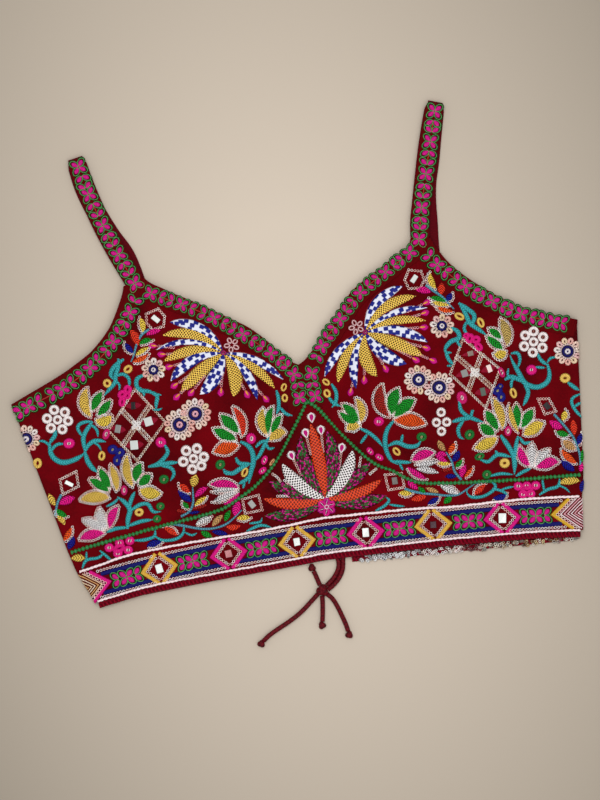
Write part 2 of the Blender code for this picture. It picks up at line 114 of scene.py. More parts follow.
camera = bpy.data.objects.new("camera", bpy.data.cameras.new("camera"))
bpy.context.scene.collection.objects.link(camera)
camera.data.sensor_fit = "VERTICAL"
camera.data.sensor_height = SENSOR
camera.data.lens = SENSOR * CAMERA_HEIGHT / FRAME_HEIGHT
camera.location = (*CAMERA_SPOT, CAMERA_HEIGHT)
camera.rotation_euler = (0, 0, CAMERA_TURN)
bpy.context.scene.camera = camera

LIGHTS = [
    {"name": "soft_box", "at": (-0.1, 0.38, 1.7), "size": 0.9, "watts": 12.2},
    {"name": "fill", "at": (0.35, -0.7, 1.6), "size": 1.4, "watts": 8.5},
]
for row in LIGHTS:
    lamp = bpy.data.lights.new(row["name"], "AREA")
    lamp.size = row["size"]
    lamp.energy = row["watts"]
    holder = bpy.data.objects.new(row["name"], lamp)
    holder.location = row["at"]
    holder.rotation_euler = (-Vector(row["at"])).to_track_quat("-Z", "Y").to_euler()
    bpy.context.scene.collection.objects.link(holder)
sky = bpy.data.worlds.new("sky")
sky.use_nodes = True
sky.node_tree.nodes["Background"].inputs["Color"].default_value = (1, 1, 1, 1)
sky.node_tree.nodes["Background"].inputs["Strength"].default_value = 0.57
bpy.context.scene.world = sky
bpy.context.scene.view_settings.view_transform = "Standard"


# ================================================================ the ties
# Two rouleau cords of bias-cut satin, sewn shut along themselves, come from the open back, pass under
# the hem and are knotted below it. Each end is finished with a small overhand knot.
BOX_MIDDLE = (-10.2, 165.1)  # the middle of the part's box in pattern coordinates
TIE = 2.8
TIE_Z = TIE / 2 + 0.05


def distances(line):
    """How far along a line each of its points lies."""
    return np.concatenate(([0], np.cumsum(np.linalg.norm(np.diff(line, axis=0), axis=1))))


def directions(line, closed=False):
    """The way a line runs at each of its points."""
    ahead = np.gradient(np.array(line, dtype=float), axis=0)
    if closed:
        ahead[0] = ahead[-1] = line[1] - line[-2]
    return ahead / np.maximum(np.linalg.norm(ahead, axis=1), 1e-9)[:, None]


def spread(points, count):
    """count points at equal distances along the smooth curve through these points."""
    ends = np.array([points[0], *points, points[-1]], dtype=float)
    fine = []
    for a, b, c, d in zip(ends, ends[1:], ends[2:], ends[3:]):
        t = np.linspace(0, 1, 10, endpoint=False)[:, None]
        fine.append(b + 0.5 * t * (c - a + t * (2 * a - 5 * b + 4 * c - d + t * (3 * (b - c) + d - a))))
    fine = np.vstack([*fine, ends[-1:]])
    lengths = distances(fine)
    wanted = np.linspace(0, lengths[-1], count)
    return np.stack([np.interp(wanted, lengths, fine[:, k]) for k in range(fine.shape[1])], axis=1)


def run_length(line):
    """The whole length of a line."""
    return float(np.linalg.norm(np.diff(np.array(line, dtype=float), axis=0), axis=1).sum())


def new_mesh():
    """A bmesh with the layers that stitches need: places along and across them, and their dyes."""
    bm = bmesh.new()
    bm.loops.layers.uv.new("stitch")
    bm.verts.layers.float_color.new("dye")
    bm.verts.layers.float_color.new("spot")
    return bm


def patch(bm, rows, marks, dye="#ffffff", spot="#000000"):
    """A skin through rows of points, with the place of each on the stitch map and its two dyes."""
    columns, across = len(rows), len(rows[0])
    made = bmesh.ops.create_grid(bm, x_segments=columns - 1, y_segments=across - 1, size=1)["verts"]
    uv, colour = bm.loops.layers.uv["stitch"], bm.verts.layers.float_color["dye"]
    second = bm.verts.layers.float_color["spot"]
    dye, spot = linear(dye), linear(spot)
    places = np.swapaxes(np.array(rows, dtype=float), 0, 1).reshape(-1, 3).tolist()
    marks = np.swapaxes(np.array(marks, dtype=float), 0, 1).reshape(-1, 2).tolist()
    mark_of = {}
    for vert, place, mark in zip(made, places, marks):
        vert.co = place
        vert[colour] = dye
        vert[second] = spot
        mark_of[vert] = mark
    for face in {face for vert in made for face in vert.link_faces}:
        face.smooth = True
        for loop in face.loops:
            loop[uv].uv = mark_of[loop.vert]
    return made


def stitch_marks(along, across):
    """The places along and across a skin, for its stitch map."""
    return np.stack(np.broadcast_arrays(along[:, None], across), axis=2)


def rope(points, radii, sides=10):
    """A round skin about a line of points in space; radii is one number, or one a point, or a table."""
    points = np.array(points, dtype=float)
    ahead = directions(points)
    left = np.cross((0, 0, 1.0), ahead)
    left /= np.linalg.norm(left, axis=1)[:, None]
    above = np.cross(ahead, left)
    radii = np.array(radii, dtype=float)
    radii = np.broadcast_to(radii[:, None] if radii.ndim == 1 else radii, (len(points), sides + 1))
    turns = -np.linspace(0, 2 * math.pi, sides + 1)
    outward = np.cos(turns)[None, :, None] * left[:, None] + np.sin(turns)[None, :, None] * above[:, None]
    bm = new_mesh()
    patch(bm, points[:, None] + radii[:, :, None] * outward, stitch_marks(distances(points), -turns))
    return bm


def in_frame(points):
    """Points in pattern coordinates, at their own height, in the part's frame."""
    return np.array(points, dtype=float).reshape(-1, 3) - (*BOX_MIDDLE, 0)


def new_piece(name, bm, finish, slot, *nodes, lay=in_frame, mended=0.01):
    """Makes a finished bmesh an object that rides on the blouse; lay places its points."""
    if mended:
        bmesh.ops.remove_doubles(bm, verts=bm.verts[:], dist=mended)
    mesh = bpy.data.meshes.new(name)
    bm.to_mesh(mesh)
    bm.free()
    flat = np.empty(len(mesh.vertices) * 3)
    mesh.vertices.foreach_get("co", flat)
    mesh.vertices.foreach_set("co", (lay(flat.reshape(-1, 3)) * MM).ravel())
    mesh.update()
    piece = bpy.data.objects.new(name, mesh)
    bpy.context.scene.collection.objects.link(piece)
    mesh.materials.append(finish)
    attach(piece, "root")
    if nodes:
        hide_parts(*nodes)
    return piece


def close_holes(bm):
    """Merges what coincides and fills the openings that are left."""
    bmesh.ops.remove_doubles(bm, verts=bm.verts[:], dist=0.01)
    bmesh.ops.holes_fill(bm, edges=[edge for edge in bm.edges if edge.is_boundary], sides=0)
    return bm


# Satin on the bias, turned inside out: a soft sheen, small slanting puckers, and shade painted in them.
rouleau, tree = new_finish("bias satin cord", Roughness=0.6, Specular_IOR_Level=0.12)
marks = add(tree, "ShaderNodeUVMap", uv_map="stitch")
slant = add(tree, "ShaderNodeMapping", {"Vector": marks, "Rotation": (0, 0, 0.9), "Scale": (0.5, 0.5, 1)})
puckers = add(tree, "ShaderNodeTexNoise", {"Vector": slant, "Scale": 1.6, "Detail": 3.0})
# The ramp paints shade into the colour: darker in the low parts of the puckers.
add(tree, "ShaderNodeValToRGB", {"Fac": puckers}, "Base Color", {0.35: "#380208", 0.7: "#720616"})
add(tree, "ShaderNodeBump", {"Height": puckers, "Strength": 0.5, "Distance": 0.0004}, "Normal")

TIE_RUNS = {
    "tie_run_left": [(-6.7, 49.6), (-6.7, 42), (-5.6, 32), (-3.4, 21), (-1.6, 12), (-0.4, 4.5), (-1.6, -1),
                     (-5.6, -6.6), (-12, -11.8)],
    "tie_run_right": [(6.7, 49.6), (6.7, 42), (6.4, 31), (5.6, 21), (4.4, 12), (3, 4.5), (1.6, -2),
                      (-2.2, -8), (-7.2, -12.4), (-11.6, -15)],
    "tie_tail_long": [(-19.4, -17), (-26, -22.4), (-34, -28.6), (-43, -33.8), (-52, -38), (-60, -42),
                      (-65, -45.6)],
    "tie_tail_short": [(-16.4, -19), (-17, -25), (-18, -31.5), (-19.2, -38)],
    "tie_tail_side": [(-12.6, -18), (-9, -22.4), (-6.2, -29), (-4, -36), (-2, -43.4), (-1.3, -48)],
    "tie_tail_up": [(-16.9, -10.6), (-18, -6.5), (-19, -2.5), (-20, 0.4)],
}
# Each knot: its middle, its radius and its turn.
TIE_KNOTS = {
    "tie_knot": (-15.6, -14.8, 3.6, 35),
    "tie_end_long": (-67, -47.4, 2.3, 30),
    "tie_end_short": (-19.8, -40.8, 2.3, 80),
    "tie_end_side": (-0.9, -50.8, 2.3, -80),
    "tie_end_up": (-20.8, 3.1, 2.3, -60),
}
KNOT_TUBE = 0.54  # the cord's radius, drawn tight, as a share of the knot's
for name, (knot_x, knot_y, radius, turn) in TIE_KNOTS.items():
    # An overhand knot pulled tight is a flattened trefoil whose cord touches itself.
    turns = np.linspace(0, 2 * math.pi, 49)
    x, y = np.sin(turns) + 2 * np.sin(2 * turns), np.cos(turns) - 2 * np.cos(2 * turns)
    spin, size = math.radians(turn), radius * 0.27
    line = np.stack([knot_x + size * (x * math.cos(spin) - y * math.sin(spin)),
                     knot_y + size * (x * math.sin(spin) + y * math.cos(spin)),
                     radius * (0.72 - 0.16 * np.sin(3 * turns))], axis=1)
    bm = rope(line, radius * KNOT_TUBE, 8)
    new_piece(name + "_cord", bm, rouleau, "tie_cord", name, mended=0.4)

# The long stretches and the loose ends, each a cord along its route.
for name, route in TIE_RUNS.items():
    line = spread([(x, y, TIE_Z) for x, y in route], 3 * len(route) + 8)
    # Satin sewn shut by hand stands fuller than the cord within.
    bm = close_holes(rope(line + (0, 0, TIE * 0.12), TIE * 0.62))
    new_piece(name + "_cord", bm, rouleau, "tie_cord", name)


# ================================================================ the front panels
# Two darted cups, a midriff with its centre gusset, and a hem band, cut from maroon silk velvet on a
# cotton backing and sewn together. They lie over the back, swell over the bust and fold under at the
# sides.
OUT = {"left": -1, "right": 1}  # the way out from the centre, along x
CLOTH = 1.8  # velvet, backing and the lining behind it
FRONT_MID = 4.1  # height of the middle of the front's cloth over the floor
FOLD_RADIUS = 1.6
FOLD_REACH = FOLD_RADIUS + CLOTH / 2  # how far the side fold stands out from where it starts
TURN_UNDER = 6.0
STRAP_MID = 2.55  # height of the middle of a strap's front run
STRAP_SETTLES = (238.0, 268.0)  # between these the strap comes down from the cup to its own height
# Each line starts at the centre front and runs out to the side.
NECK = {
    "left": [(-7.5, 155), (-9.2, 155.8), (-11, 157), (-20, 166.5), (-30, 178.5), (-40, 188), (-50, 195),
             (-60, 201.5), (-70, 208.5), (-80, 215), (-90, 221), (-100, 227.5), (-107, 232), (-112, 237)],
    "right": [(-7.5, 155), (-4.5, 156.4), (-1.5, 158.4), (10, 169.5), (20, 181), (30, 192.5), (40, 203),
              (50, 209.5), (60, 215), (70, 220.5), (80, 226), (87, 230), (90, 236)],
}
ARM = {
    "left": [(-128, 233), (-130, 227), (-134, 219), (-138.5, 211), (-144, 203), (-151, 195.5), (-160, 188),
             (-172, 181), (-185, 174.5), (-198, 169), (-212, 163.5), (-224.3, 158.5)],
    "right": [(104.5, 234), (107, 227), (110.5, 221), (115, 214), (121, 206.5), (130, 197.5), (140, 189),
              (150, 181), (160, 174.5), (170, 169.5), (180, 165), (190, 161.5), (203.8, 156.5)],
}
UNDERBUST = {
    "left": [(-7.5, 127), (-14, 116.4), (-20.5, 107), (-28, 96.5), (-36, 86.3), (-45, 77.5), (-55, 70),
             (-65, 64.5), (-75, 59.5), (-85, 56), (-97, 54.5), (-110, 53), (-130, 51), (-150, 48.5),
             (-170, 46), (-185, 44), (-199.5, 42)],
    "right": [(-7.5, 127), (-1, 121.5), (5.5, 112.8), (13, 102), (20, 93.5), (27, 85), (35, 76), (42, 70.5),
              (50, 66.5), (58, 60), (66, 55), (75, 52.5), (85, 51), (100, 49), (120, 47), (140, 45),
              (160, 43.5), (180, 42), (191, 41.3)],
}
BAND_TOP = {
    "left": [(-7.5, 38.7), (-30, 37.5), (-60, 36.3), (-100, 36), (-130, 35), (-150, 34), (-165, 32),
             (-180, 29), (-195.5, 27)],
    "right": [(-7.5, 38.7), (20, 37.5), (60, 35.3), (90, 32.3), (120, 31), (150, 29.2), (187.5, 25.5)],
}
BAND_BOTTOM = {
    "left": [(-7.5, 12.5), (-30, 11.8), (-60, 11), (-100, 10), (-130, 9), (-150, 7.6), (-170, 4.9),
             (-185.5, 3)],
    "right": [(-7.5, 12.5), (20, 11.6), (60, 10.2), (90, 8.6), (120, 6.5), (150, 4.3), (184.5, 0.4)],
}
# A cup's dome: its crown, its height and how far it spreads each way.
CUPS = [
    {"x": -87.0, "y": 122.0, "height": 31.0, "left": 84.0, "right": 68.0, "up": 96.0, "down": 68.0},
    {"x": 84.0, "y": 122.0, "height": 31.0, "left": 76.0, "right": 84.0, "up": 96.0, "down": 69.0},
]
# Each soft trough or ridge: its middle, bearing, half its length, half its width, and its depth, which is
# below 0 for a ridge.
CREASES = [
    (-92, 84, 92, 36, 8, 2.4),  # dart of the left cup
    (85, 82, 89, 36, 8, 2.4),  # dart of the right cup
    (-150, 132, 28, 44, 9, 2),
    (-172, 92, 74, 38, 9, -1.6),
    (158, 128, 148, 42, 9, 1.9),
    (168, 84, 98, 40, 9, -1.8),
    (128, 70, 120, 30, 8, 1.4),
    (-128, 66, 62, 30, 8, 1.5),
    (-8, 84, 90, 46, 18, -2.2),  # the gusset
]
PUCKER = 0.22  # how far the embroidery draws the cloth up and down between the motifs


def moved(point, sideways):
    return (point[0] + sideways, point[1])


def left_of(ahead):
    """Directions in the plane, turned a quarter to the left."""
    return np.stack([-ahead[:, 1], ahead[:, 0]], axis=1)


def fold_starts(hand):
    """Where the side begins to fold: y, x and the direction out of the side, from the hem up."""
    lines = (BAND_BOTTOM, BAND_TOP, UNDERBUST, ARM)
    side = np.array([moved(line[hand][-1], -OUT[hand] * FOLD_REACH) for line in lines])
    return side[:, 1], side[:, 0], -left_of(directions(side)) * OUT[hand]


def front_height(x, y):
    """Height of the middle of the front's cloth over the floor."""
    rise = np.zeros_like(x)
    for cup in CUPS:
        across = (x - cup["x"]) / np.where(x > cup["x"], cup["right"], cup["left"])
        along = (y - cup["y"]) / np.where(y > cup["y"], cup["up"], cup["down"])
        rise += cup["height"] * np.clip(1 - across ** 2 - along ** 2, 0, None) ** 2
    for crease_x, crease_y, bearing, reach, width, depth in CREASES:
        turn = math.radians(bearing)
        dx, dy = x - crease_x, y - crease_y
        along = (dx * math.cos(turn) + dy * math.sin(turn)) / reach
        across = (dy * math.cos(turn) - dx * math.sin(turn)) / width
        rise -= depth * np.clip(1 - along ** 2, 0, None) ** 2 * np.exp(-across ** 2)
    # The puckers die out towards the sides and the straps.
    inside = np.clip(np.minimum(x + 208, 186 - x) / 16, 0, 1) * np.clip((232 - y) / 14, 0, 1)
    waves = np.sin(0.42 * x + 1.3 * np.sin(0.17 * y)) * np.sin(0.37 * y + 1.1 * np.sin(0.13 * x))
    settled = np.clip((y - STRAP_SETTLES[0]) / (STRAP_SETTLES[1] - STRAP_SETTLES[0]), 0, 1)
    settled = settled * settled * (3 - 2 * settled)
    return FRONT_MID + np.maximum(rise, 0) + PUCKER * inside * waves + (STRAP_MID - FRONT_MID) * settled


def on_front(points):
    """Points drawn flat, z from the middle of the cloth, laid over the front and round its sides."""
    x, y, z = np.array(points, dtype=float).reshape(-1, 3).T
    past, out = np.zeros_like(x), np.zeros((len(x), 2))
    for hand in OUT:
        line_y, line_x, ways = fold_starts(hand)
        way = np.stack([np.interp(y, line_y, ways[:, k]) for k in (0, 1)], axis=1)
        slope = (line_x[-1] - line_x[-2]) / (line_y[-1] - line_y[-2])
        edge = np.interp(y, line_y, line_x) + slope * np.clip(y - line_y[-1], 0, 20)
        distance = (x - edge) * way[:, 0]
        beyond = distance > 0
        past[beyond] = distance[beyond]
        out[beyond] = way[beyond]
    x, y = x - past * out[:, 0], y - past * out[:, 1]
    step = 0.25
    slope_x = (front_height(x + step, y) - front_height(x - step, y)) / (2 * step)
    slope_y = (front_height(x, y + step) - front_height(x, y - step)) / (2 * step)
    facing = np.stack([-slope_x, -slope_y, np.ones_like(x)], axis=1)
    facing /= np.linalg.norm(facing, axis=1)[:, None]
    middle = np.stack([x, y, front_height(x, y)], axis=1)
    turned = np.minimum(past / FOLD_RADIUS, math.pi)
    radial = np.concatenate([out * np.sin(turned)[:, None], np.cos(turned)[:, None]], axis=1)
    inward = np.concatenate([out, 0 * out[:, :1]], axis=1)
    under = np.maximum(past - math.pi * FOLD_RADIUS, 0)[:, None] * inward
    folded = middle - (0, 0, FOLD_RADIUS) + radial * (FOLD_RADIUS + z[:, None]) - under
    flat = middle + facing * z[:, None]
    return in_frame(np.where(past[:, None] > 0, folded, flat))


def wall(low_line, high_line, rows, low, high, rim=0.35, bm=None):
    """A flat panel between two lines, from low to high, with its rims rounded."""
    if bm is None:
        bm = new_mesh()
    low_line, high_line = np.array(low_line, dtype=float), np.array(high_line, dtype=float)
    shares = np.linspace(0, 1, rows + 1)[None, :, None]
    plane = low_line[:, None] * (1 - shares) + high_line[:, None] * shares
    places = np.concatenate([plane, np.full((*plane.shape[:2], 1), low)], axis=2)
    made = patch(bm, places, plane)
    faces = list({face for vert in made for face in vert.link_faces})
    lifted = bmesh.ops.extrude_face_region(bm, geom=faces, use_keep_orig=True)["geom"]
    for item in lifted:
        if isinstance(item, bmesh.types.BMVert):
            item.co.z += high - low
    shell = faces + [item for item in lifted if isinstance(item, bmesh.types.BMFace)]
    shell = list({face for part in shell for edge in part.edges for face in edge.link_faces})
    bmesh.ops.recalc_face_normals(bm, faces=shell)
    bm.normal_update()
    sharp = []
    for edge in {edge for face in shell for edge in face.edges if len(edge.link_faces) == 2}:
        if edge.link_faces[0].normal.dot(edge.link_faces[1].normal) < 0.5:
            sharp.append(edge)
    bmesh.ops.bevel(bm, geom=sharp, offset=rim, segments=2, profile=0.5, affect="EDGES", clamp_overlap=True,
                    material=-1)
    for face in bm.faces:
        face.smooth = True
    return bm


def to_fold(line, hand):
    """A line whose last point is drawn in to where the side fold starts."""
    return [*line[:-1], moved(line[-1], -OUT[hand] * FOLD_REACH)]


def past_fold(points, hand):
    """Points carried on past the start of the side fold, round it and a little way under."""
    line_y, _, ways = fold_starts(hand)
    last = np.array(points[-1])
    way = np.array([np.interp(last[1], line_y, ways[:, k]) for k in (0, 1)])
    steps = [0.7, 1.4, 2.1, 2.8, 3.5, 4.2, 5.0, 7.0, 9.0, math.pi * FOLD_RADIUS + TURN_UNDER]
    return np.vstack([points, [last + way * step for step in steps]])


def side_to_side(line, count):
    """A line from the left side's fold, across the centre, to the right side's."""
    left = past_fold(spread(to_fold(line["left"], "left"), count), "left")
    right = past_fold(spread(to_fold(line["right"], "right"), count), "right")
    return np.vstack([left[::-1], right[1:]])


# Silk velvet, dyed maroon: a short dense pile, painted lighter in fine random flecks as sheen where it
# leans away, with a faint weave and slow patches of painted light and shade, as over soft folds.
velvet, tree = new_finish("maroon silk velvet", Roughness=0.85, Specular_IOR_Level=0.05)
spot = add(tree, "ShaderNodeTexCoord").outputs["Object"]
painted_fold_shading = add(tree, "ShaderNodeTexNoise", {"Vector": spot, "Scale": 22.0, "Detail": 3.0, "Roughness": 0.5})
pile = add(tree, "ShaderNodeTexNoise", {"Vector": spot, "Scale": 900.0, "Detail": 2.0})
both = add(tree, "ShaderNodeMath", {0: pile, 1: 0.3, 2: painted_fold_shading}, operation="MULTIPLY_ADD")
# The ramp paints light and shade: broad patches as over soft folds, and a fine sheen of the pile.
add(tree, "ShaderNodeValToRGB", {"Fac": both}, "Base Color", {0.45: "#430004", 0.85: "#6e0009"})
add(tree, "ShaderNodeBump", {"Height": pile, "Strength": 0.3, "Distance": 0.0003}, "Normal")

FACES = (-CLOTH / 2, CLOTH / 2)
NECK_POINTS, ARM_POINTS = 59, 53  # how finely a cup's two upper edges are drawn
for hand in OUT:
    seam = spread(to_fold(UNDERBUST[hand], hand), NECK_POINTS + ARM_POINTS)
    edge = np.vstack([spread(NECK[hand], NECK_POINTS), spread(to_fold(ARM[hand], hand), ARM_POINTS)])
    bm = wall(past_fold(seam, hand), past_fold(edge, hand), 56, *FACES)
    cup = new_piece(f"cup_{hand}", bm, velvet, "maroon_cloth", f"front_cup_{hand}", lay=on_front)

bm = wall(side_to_side(BAND_TOP, 86), side_to_side(UNDERBUST, 86), 26, *FACES)
midriff = new_piece("midriff", bm, velvet, "maroon_cloth", "front_midriff", lay=on_front)

bm = wall(side_to_side(BAND_BOTTOM, 86), side_to_side(BAND_TOP, 86), 10, *FACES)
band = new_piece("hem_band", bm, velvet, "hem_band", "front_hem_band", lay=on_front)


# ================================================================ the back
# Two plain wings of maroon satin with a band, a braid and an open centre. A small folded tab on each
# edge of the opening holds a tie. They lie flat on the surface, mostly hidden by the front.
SEAM_GAP = 0.3
OPENING = 10.0  # half the gap between the wings
BACK_TOP = {
    "left": [(-10, 72), (-30, 80), (-50, 93), (-68, 104), (-82, 108.5), (-102, 108.5), (-120, 111),
             (-145, 117), (-175, 128), (-200, 143)],
    "right": [(10, 72), (30, 80), (52, 93), (72, 104), (86, 108.5), (106, 108.5), (122, 111),
              (145, 118), (168, 129), (186, 143)],
}
# Heights of the back band's edges, at the centre opening and at the side.
BACK_LEVELS = {
    "left": {"band_top": (36, 26.5), "band_bottom": (12.5, 5)},
    "right": {"band_top": (34, 22.5), "band_bottom": (7, -2.3)},
}
TAB = {"width": 6.0, "low": 50.0, "high": 60.0}
BRAID_LOOP = 2.9  # from one loop of the braid to the next
BRAID_STEP = BRAID_LOOP / 9


def back_side(hand, y):
    """Where a back wing meets the turned-under lip of the front."""
    line_y, line_x, _ = fold_starts(hand)
    return float(np.interp(y, line_y, line_x)) - OUT[hand] * (TURN_UNDER + SEAM_GAP)


def braid(line, width, low, high, face):
    """A gimp braid hanging from a line: fat slanting loops on a closed strip, from low to high."""
    lengths = distances(line)
    across = np.concatenate([np.linspace(1, 0, 13), [1]])
    loops = np.abs(np.sin(math.pi * (lengths[:, None] / BRAID_LOOP + 0.55 * across[None, :])))
    humped = np.abs(np.sin(math.pi * (0.08 + 0.84 * across)))[None, :]
    height = face + (high - face) * loops * (humped ** 0.6)
    height[:, 0] = height[:, -1] = height[:, -2] = low
    down = -left_of(directions(line))
    rows = np.concatenate([line[:, None] + down[:, None] * (across * width)[None, :, None],
                           height[:, :, None]], axis=2)
    bm = new_mesh()
    patch(bm, rows, stitch_marks(lengths, across * width))
    close_holes(bm)
    bmesh.ops.recalc_face_normals(bm, faces=bm.faces[:])
    return bm


# Satin-faced cotton for the back: smoother than the velvet, with fine crosswise threads.
back_satin, tree = new_finish("maroon cotton satin", Roughness=0.7, Specular_IOR_Level=0.06)
spot = add(tree, "ShaderNodeTexCoord").outputs["Object"]
threads = add(tree, "ShaderNodeMapping", {"Vector": spot, "Scale": (400, 2400, 1)})
threads = add(tree, "ShaderNodeTexNoise", {"Vector": threads, "Scale": 1.0, "Detail": 2.0})
add(tree, "ShaderNodeValToRGB", {"Fac": threads}, "Base Color", {0.3: "#420008", 0.7: "#5e000d"})
add(tree, "ShaderNodeBump", {"Height": threads, "Strength": 0.25, "Distance": 0.0002}, "Normal")

# Gimp: a rayon cord worked into loops on a crochet braid. Twisted strands show slantwise on each loop.
gimp, tree = new_finish("maroon rayon gimp", Roughness=0.6, Specular_IOR_Level=0.08)
marks = add(tree, "ShaderNodeUVMap", uv_map="stitch")
slant = add(tree, "ShaderNodeMapping", {"Vector": marks, "Rotation": (0, 0, 0.5)})
strands = add(tree, "ShaderNodeTexWave", {"Vector": slant, "Scale": 0.123, "Distortion": 1.5}).outputs["Fac"]
add(tree, "ShaderNodeValToRGB", {"Fac": strands}, "Base Color", {0: "#52000e", 1: "#7e001b"})
add(tree, "ShaderNodeBump", {"Height": strands, "Strength": 0.6, "Distance": 0.0003}, "Normal")

for hand, out in OUT.items():
    lines = {}
    for name, (centre_y, side_y) in BACK_LEVELS[hand].items():
        lines[name] = [(out * OPENING, centre_y), (back_side(hand, side_y), side_y)]
    side_y = BACK_TOP[hand][-1][1]
    top = BACK_TOP[hand][:-1] + [(back_side(hand, side_y), side_y)]
    bm = wall(spread(lines["band_top"], 61), spread(top, 61), 24, 0, CLOTH)
    wing = new_piece(f"back_wing_{hand}_cloth", bm, back_satin, "back_cloth", f"back_wing_{hand}")
    bm = wall(spread(lines["band_bottom"], 61), spread(lines["band_top"], 61), 8, 0, CLOTH)
    band = new_piece(f"back_hem_band_{hand}_cloth", bm, back_satin, "back_cloth", f"back_hem_band_{hand}")
    stations = round(math.dist(*lines["band_bottom"]) / BRAID_STEP)
    top_of_braid = spread(lines["band_bottom"], stations)[::out]
    bm = braid(top_of_braid - (0, SEAM_GAP), 4.0, 0.05, 1.7, 0.9)
    new_piece(f"back_hem_braid_{hand}_gimp", bm, gimp, "braid", f"back_hem_braid_{hand}")
    inner, outer = sorted((out * OPENING, out * (OPENING - TAB["width"])))
    low_line, high_line = ([(inner, TAB[edge]), (outer, TAB[edge])] for edge in ("low", "high"))
    bm = wall(low_line, high_line, 6, 0, CLOTH)
    new_piece(f"tie_tab_{hand}_cloth", bm, back_satin, "tie_cord", f"tie_tab_{hand}")


# ================================================================ the shoulder straps
# Each strap is a folded band of the maroon satin, sewn to a cup, turned over on itself at the top and
# led down beneath the front to a back wing.
STRAP_WIDTH, STRAP_CLOTH = 14.5, 1.5
STRAP_UP = {
    "left": [(-119.4, 235.3), (-125.5, 250), (-130.3, 262), (-136.6, 280), (-142.3, 300), (-146.5, 318),
             (-149, 332)],
    "right": [(97.1, 235.4), (98.6, 247), (102, 260), (107.3, 280), (112.8, 300), (118.5, 318),
              (123.6, 332.6)],
}
STRAP_DOWN = {
    "left": [(-149, 332), (-146, 311), (-139.8, 291), (-131.8, 272), (-124.4, 258), (-120.5, 245),
             (-117, 227), (-109, 190), (-98, 150), (-92.5, 125), (-92, 108.8)],
    "right": [(123.6, 332.6), (117.5, 309), (113, 291), (108.6, 276), (106.2, 262), (104.8, 245),
              (103.2, 228), (101, 190), (98.5, 150), (96.3, 125), (96, 108.8)],
}


def strap_ways(line):
    """The direction across a strap at each of its points, to the right of the way it runs."""
    return np.column_stack([-left_of(directions(line)), np.zeros(len(line))])


def drawn_in(line, top):
    """How much of its width a strap keeps at each point of a line, as its fold nears."""
    away = np.linalg.norm(line[:, :2] - top, axis=1)
    return (1 - 0.3 * np.clip(1 - away / 6, 0, 1) ** 2)[:, None]


def rounded_section(width, thickness, corner):
    """A band's section as (across, out) points once round, from its right edge over the top."""
    points = []
    for x, y, first in ((1, 1, 0), (-1, 1, 90), (-1, -1, 180), (1, -1, 270)):
        middle = (x * (width / 2 - corner), y * (thickness / 2 - corner))
        for turn in (0, 45, 90):
            angle = math.radians(first + turn)
            points.append((middle[0] + corner * math.cos(angle), middle[1] + corner * math.sin(angle)))
        step = -1 if y > 0 else 1
        for share in (0.25, 0.5, 0.75):
            if first in (0, 180):
                points.append((middle[0] + step * 2 * share * (width / 2 - corner), y * thickness / 2))
    return np.array([*points, points[0]])


STRAP_SECTION = rounded_section(STRAP_WIDTH, STRAP_CLOTH, 0.45)
for hand in OUT:
    low, fold = STRAP_CLOTH / 2, STRAP_MID / 2 - STRAP_CLOTH / 4
    up, down = spread(STRAP_UP[hand], 44), spread(STRAP_DOWN[hand], 84)
    across_up, across_down = strap_ways(up), -strap_ways(down)
    ahead = np.array([-across_up[-1][1], across_up[-1][0], 0])
    upright = np.array([0, 0, 1.0])
    stations = [(np.array([*p, h]), a, upright)
                for p, a, h in zip(up, across_up, front_height(up[:, 0], up[:, 1]))]
    for degrees in range(15, 180, 15):
        turn = math.radians(degrees)
        facing = ahead * math.sin(turn) + upright * math.cos(turn)
        stations.append((np.array([*up[-1], low + fold]) + facing * fold, across_up[-1], facing))
    stations += [(np.array([*p, low]), a, -upright) for p, a in zip(down, across_down)]
    middles, ways, facings = (np.array(part) for part in zip(*stations))
    lengths = distances(middles)
    ways *= drawn_in(middles, up[-1])
    rows = (middles[:, None] + ways[:, None] * STRAP_SECTION[None, :, :1]
            + facings[:, None] * STRAP_SECTION[None, :, 1:])
    bm = new_mesh()
    patch(bm, rows, stitch_marks(lengths, STRAP_SECTION[:, 0]))
    close_holes(bm)
    bmesh.ops.recalc_face_normals(bm, faces=bm.faces[:])
    strap = new_piece(f"strap_{hand}_cloth", bm, back_satin, "maroon_cloth", f"strap_{hand}")


# ================================================================ the flowered border
# A woven tape, as deep as the velvet, edges the neck, the armholes and the straps. Magenta petals in
# satin stitch, each ringed by green chain stitch, run along it as four-petalled flowers and pairs.
BORDER = 13.0
TAPE_HEIGHTS = (0.75, 1.45)  # the tape's underside and face, over the middle of the cup's cloth
STRAP_TAPE_HEIGHTS = (STRAP_CLOTH / 2 - 0.1, 1.2)  # the same over the middle of the strap
SUNK = 0.12  # how far the edge of a stitch goes down into the cloth
carrier = bpy.data.meshes.new("carrier")
MAGENTA, LOOP_GREEN, LOOP_SHADE, DASH_RED = "#d8108c", "#74bd6c", "#0a4c18", "#c23a34"


def beside(line, distance):
    """A line moved to its left."""
    return np.array(line, dtype=float) + left_of(directions(line)) * distance


